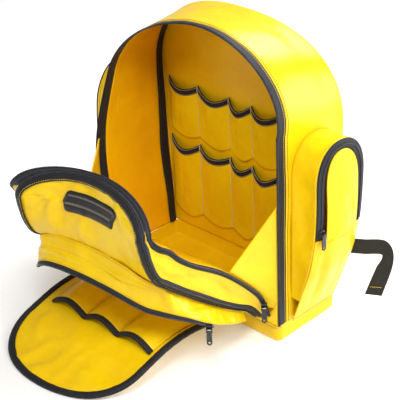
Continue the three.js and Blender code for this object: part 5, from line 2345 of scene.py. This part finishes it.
WAIST_PATH = [
    {"along": 0.0, "out": 0.0, "back": 0.0, "up": 1.0, "roll": 0.0},
    {"along": 0.2, "out": 0.32, "back": 0.06, "up": 1.0, "roll": 0.0},
    {"along": 0.42, "out": 0.66, "back": 0.5, "up": 1.0, "roll": 0.0},
    {"along": 0.6, "out": 0.93, "back": 0.95, "up": 1.0, "roll": 0.1},
    {"along": 0.68, "out": 1.0, "back": 1.0, "up": 0.9, "roll": 0.45},
    {"along": 0.78, "out": 0.96, "back": 0.95, "up": 0.69, "roll": 0.85},
    {"along": 1.0, "out": 0.8, "back": 0.78, "up": 0.23, "roll": 1.0},
]


@dataclass(frozen=True)
class WaistStrap:
    """Flat webbing from behind the pack that bends and hangs to a sewn free end."""

    name: str
    side: int
    width: float = 25.0
    thick: float = 1.8
    start: float = 150.0
    out: float = 88.0
    back: float = 36.0
    heading: float = 0.5
    height: float = 112.0

    def point(self, along: Array, across: Array) -> Array:
        """A point of the webbing's middle face, at a share of its width across.

        Args:
            along: shares of the length, from its start.
            across: places across, from -1 to 1.

        Returns:
            The points.
        """
        roll = math.pi / 2 * follow(WAIST_PATH, "roll", along)
        lean = np.sin(roll)
        edge = points(self.side * math.cos(self.heading) * lean, math.sin(self.heading) * lean, np.cos(roll))
        centre = points(
            self.side * (self.start + self.out * follow(WAIST_PATH, "out", along)),
            BODY.depth / 2 + BODY.gap + self.thick / 2 + self.back * follow(WAIST_PATH, "back", along),
            self.height * follow(WAIST_PATH, "up", along),
        )
        return centre + edge * self.width * np.asarray(across)[..., None]

    def build(self) -> None:
        """Builds and dresses the strap."""
        along = np.linspace(0, 1, 150)
        across = np.linspace(-0.5, 0.5, 9)
        selvedge = lambda u, v, p: 0.3 * smooth(0.36, 0.46, np.abs(v))
        strap = sheet_of(
            f"{self.name}_webbing", self.point, along, across, -self.thick / 2, self.thick / 2, selvedge
        )
        dress(strap, Finish.WEBBING, [self.name])
        line = np.linspace(-0.4, 0.4, 12)
        rows = []
        for lift in (self.thick / 2 + 0.15, -self.thick / 2 - 0.15):
            rows.append(stitches_on("row", self.point, np.full(12, 0.935), line, lift, Thread(3.0, 0.5)))
        dress(joined(f"{self.name}_thread", rows), Finish.YELLOW_THREAD)


HARNESS_PATH = [
    {"along": 0.0, "out": 0.0, "up": 1.0, "spread": 0.0, "width": 0.9},
    {"along": 0.14, "out": 0.42, "up": 0.95, "spread": 0.04, "width": 1.0},
    {"along": 0.35, "out": 0.9, "up": 0.74, "spread": 0.2, "width": 1.0},
    {"along": 0.6, "out": 1.0, "up": 0.46, "spread": 0.45, "width": 1.0},
    {"along": 0.82, "out": 0.62, "up": 0.2, "spread": 0.72, "width": 0.75},
    {"along": 1.0, "out": 0.0, "up": 0.0, "spread": 1.0, "width": 0.5},
]


@dataclass(frozen=True)
class ShoulderStrap:
    """A padded strap behind the back panel: a crowned cushion between two sewn edges."""

    name: str
    side: int
    width: float = 62.0
    thick: float = 12.0
    top: float = 398.0
    foot: float = 74.0
    bulge: float = 52.0
    spread: float = 58.0
    start: float = 46.0
    seat: float = 6.3
    edge: float = 6.0

    def point(self, across: Array, along: Array) -> Array:
        """A point of the strap's middle face.

        Args:
            across: places across, from -1 to 1.
            along: shares of the length, from its start.

        Returns:
            The points.
        """
        return points(
            self.side * (self.start + self.spread * follow(HARNESS_PATH, "spread", along))
            + across * self.width * follow(HARNESS_PATH, "width", along),
            BODY.depth / 2 + self.seat + self.bulge * follow(HARNESS_PATH, "out", along),
            lerp(self.foot, self.top, follow(HARNESS_PATH, "up", along)),
        )

    def cushion(self) -> bpy.types.Object:
        """The padding's closed form, thin at its sides and ends."""
        across = np.sin(np.linspace(-0.5, 0.5, 22) * math.pi) / 2
        along = np.linspace(0.015, 0.985, 150)
        u, v = np.meshgrid(across, along)
        grid = self.point(u * 0.86, v)
        normal = normals_of(grid)
        sew = 1.0 - 0.35 * np.exp(-(((v * 11) % 1.0 - 0.5) / 0.07) ** 2)
        half = (
            self.thick / 2
            * (1 - np.abs(2 * u) ** 2.6) ** 0.5
            * np.clip(np.minimum(v, 1 - v) * 30, 0.25, 1) ** 0.5
            * sew
        )
        half = np.maximum(half, 0.9)
        count = u.size
        place = np.concatenate(
            [
                (grid + normal * half[..., None]).reshape(-1, 3),
                (grid - normal * half[..., None]).reshape(-1, 3),
            ]
        )
        rows, columns = u.shape
        faces = [tuple(reversed(f)) for f in grid_faces(rows, columns, count)] + grid_faces(rows, columns)
        rim = (
            [(0, c) for c in range(columns)]
            + [(r, columns - 1) for r in range(1, rows)]
            + [(rows - 1, c) for c in range(columns - 2, -1, -1)]
            + [(r, 0) for r in range(rows - 2, 0, -1)]
        )
        where = [r * columns + c for r, c in rim]
        for k, a in enumerate(where):
            b = where[(k + 1) % len(where)]
            faces.append((a, b, b + count, a + count))
        return outward(new_object(f"{self.name}_padding", place, faces))

    def build(self) -> None:
        """Builds and dresses the strap."""
        pad = self.cushion()
        inflate(pad, 2.2)
        dress(pad, Finish.PADDING, [self.name])
        along = np.linspace(0, 1, 150)
        for number, (low, high) in enumerate(((-0.5, -0.4), (0.4, 0.5))):
            band = sheet_of(
                f"{self.name}_edge_{number + 1}", self.point, np.linspace(low, high, 4), along, -1.1, 1.1
            )
            dress(band, Finish.BINDING)
        rows = []
        for at in (-0.425, 0.425):
            for lift in (1.3, -1.3):
                rows.append(stitches_on("row", self.point, np.full(150, at), along, lift, Thread(4.2, 0.4)))
        dress(joined(f"{self.name}_thread", rows), Finish.DARK_THREAD)


PAD_VOXEL = 4.0
PAD_PRESSURE = 4.0
PAD_FRAMES = 20


def inflate(pad: bpy.types.Object, cap: float) -> None:
    """Swells a padded piece by a short cloth simulation, with its points' moves capped.

    Args:
        pad: the piece, closed and a little slim.
        cap: how far a point may move, in millimetres.
    """
    remesh = pad.modifiers.new("even", "REMESH")
    remesh.mode = "VOXEL"
    remesh.voxel_size = PAD_VOXEL * MM
    apply_modifiers(pad)
    mesh = pad.data
    rest = np.zeros(len(mesh.vertices) * 3)
    mesh.vertices.foreach_get("co", rest)
    rest = rest.reshape(-1, 3)
    cloth = pad.modifiers.new("swell", "CLOTH")
    cloth.settings.quality = 5
    cloth.settings.use_pressure = True
    cloth.settings.uniform_pressure_force = PAD_PRESSURE
    cloth.settings.effector_weights.gravity = 0.0
    cloth.point_cache.frame_start = 1
    cloth.point_cache.frame_end = PAD_FRAMES
    for number in range(1, PAD_FRAMES + 1):
        bpy.context.scene.frame_set(number)
    apply_modifiers(pad)
    moved = np.zeros(rest.size)
    pad.data.vertices.foreach_get("co", moved)
    move = moved.reshape(-1, 3) - rest
    length = np.linalg.norm(move, axis=-1, keepdims=True)
    move *= np.minimum(1.0, cap * MM / np.maximum(length, 1e-9))
    pad.data.vertices.foreach_set("co", (rest + move).ravel())
    pad.data.update()
    bpy.context.scene.frame_set(1)
    finer = pad.modifiers.new("finer", "SUBSURF")
    finer.levels = 1
    apply_modifiers(pad)
    pad.data.polygons.foreach_set("use_smooth", [True] * len(pad.data.polygons))


def apply_modifiers(piece: bpy.types.Object) -> None:
    """Turns a piece's modified shape into its mesh.

    Args:
        piece: the object.
    """
    settled = piece.evaluated_get(bpy.context.evaluated_depsgraph_get())
    mesh = bpy.data.meshes.new_from_object(settled)
    piece.modifiers.clear()
    piece.data = mesh


# Hardware, stage and camera


@dataclass(frozen=True)
class Hardware:
    """The zip sliders and pulls, which keep their solids and get a finish."""

    names: Tuple[str, ...] = ("lid", "right_pocket", "left_pocket", "organizer")

    def build(self) -> None:
        """Dresses the hardware."""
        for name in self.names:
            for part in ("slider", "pull"):
                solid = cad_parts[f"{name}_{part}"]
                for place in solid.material_slots:
                    place.link = "OBJECT"
                    place.material = made(Finish.METAL)
                LOG.info("%s: solid kept, metal", solid.name)


@dataclass(frozen=True)
class Studio:
    """A pale floor, soft lights and the camera."""

    azimuth: float = 44.65
    elevation: float = 29.84
    roll: float = 0.044
    lens: float = 128.0
    eye: Tuple[float, float, float] = (1304.2, -1368.5, 1239.5)
    floor_half: float = 4000.0
    floor_glow: float = 0.16
    room_light: float = 0.24

    def build(self) -> None:
        """Builds the stage."""
        self.build_floor()
        self.build_lights()
        self.build_camera()

    def build_floor(self) -> None:
        """Builds the floor, with faint marks in its colour."""
        span = np.linspace(-self.floor_half, self.floor_half, 25)
        x, y = np.meshgrid(span, span)
        floor = new_object("floor", points(x, y, np.full_like(x, -0.4)).reshape(-1, 3), grid_faces(25, 25))
        n = Nodes("pale_floor")
        haze = n.noise(220.0, 3.0)
        colour = n.blend(haze, (0.86, 0.86, 0.86), (0.9, 0.9, 0.9))
        floor.data.materials.append(
            n.finish(
                {
                    "Roughness": 0.65,
                    "Emission Color": (1.0, 1.0, 1.0, 1.0),
                    "Emission Strength": self.floor_glow,
                },
                {"Base Color": colour},
            )
        )

    def build_lights(self) -> None:
        """Builds a white room and five soft lights."""
        world = bpy.data.worlds.new("room")
        world.use_nodes = True
        world.node_tree.nodes["Background"].inputs["Color"].default_value = (1.0, 1.0, 1.0, 1.0)
        world.node_tree.nodes["Background"].inputs["Strength"].default_value = self.room_light
        bpy.context.scene.world = world
        bpy.context.scene.view_settings.view_transform = "Standard"
        for name, place, size, watts in (
            ("key", (1.55, -0.3, 1.35), 0.7, 16.0),
            ("top", (-0.1, 1.25, 1.6), 1.0, 34.0),
            ("fill", (-0.5, -1.9, 1.1), 0.6, 4.0),
            ("sheen", (1.5, 1.3, 0.65), 1.1, 30.0),
            ("lens", (0.75, -1.0, 1.8), 0.6, 20.0),
        ):
            light = bpy.data.lights.new(name, "AREA")
            light.size = size
            light.energy = watts
            lamp = bpy.data.objects.new(name, light)
            lamp.location = place
            lamp.rotation_euler = (
                (Vector((0.0, -0.05, 0.18)) - Vector(place)).to_track_quat("-Z", "Y").to_euler()
            )
            bpy.context.scene.collection.objects.link(lamp)

    def build_camera(self) -> None:
        """Builds the camera at the photograph's angle."""
        az, el = math.radians(self.azimuth), math.radians(self.elevation)
        back = Vector((math.sin(az) * math.cos(el), -math.cos(az) * math.cos(el), math.sin(el)))
        right = Vector((math.cos(az), math.sin(az), 0.0))
        up = back.cross(right)
        c, s = math.cos(-self.roll), math.sin(-self.roll)
        turned = right * c + up * s
        upright = up * c - right * s
        camera = bpy.data.objects.new("camera", bpy.data.cameras.new("camera"))
        camera.data.lens = self.lens
        camera.data.sensor_width = 36.0
        camera.data.clip_end = 50.0
        axes = Matrix((turned, upright, back)).transposed().to_4x4()
        camera.matrix_world = Matrix.Translation(Vector(self.eye) * MM) @ axes
        bpy.context.scene.collection.objects.link(camera)
        bpy.context.scene.camera = camera


def main() -> None:
    """Builds the pack's pieces in order and dresses them."""
    logging.basicConfig(level=logging.INFO, format="%(name)s %(message)s")
    BODY.build()
    OrganizerRow("upper_row", 205.0, 293.0, 3).build()
    OrganizerRow("lower_row", 62.0, 190.0, 7).build()
    for name, side, seed in (("right_pocket", 1, 21), ("left_pocket", -1, 22)):
        SidePocket(name, side, seed).build()
    LID.build()
    OrganizerStrip().build()
    Flap().build()
    for name, side in (("right", 1), ("left", -1)):
        WaistStrap(f"{name}_waist_strap", side).build()
        ShoulderStrap(f"{name}_shoulder_strap", side).build()
    Hardware().build()
    Studio().build()


if __name__ == "__main__":
    main()
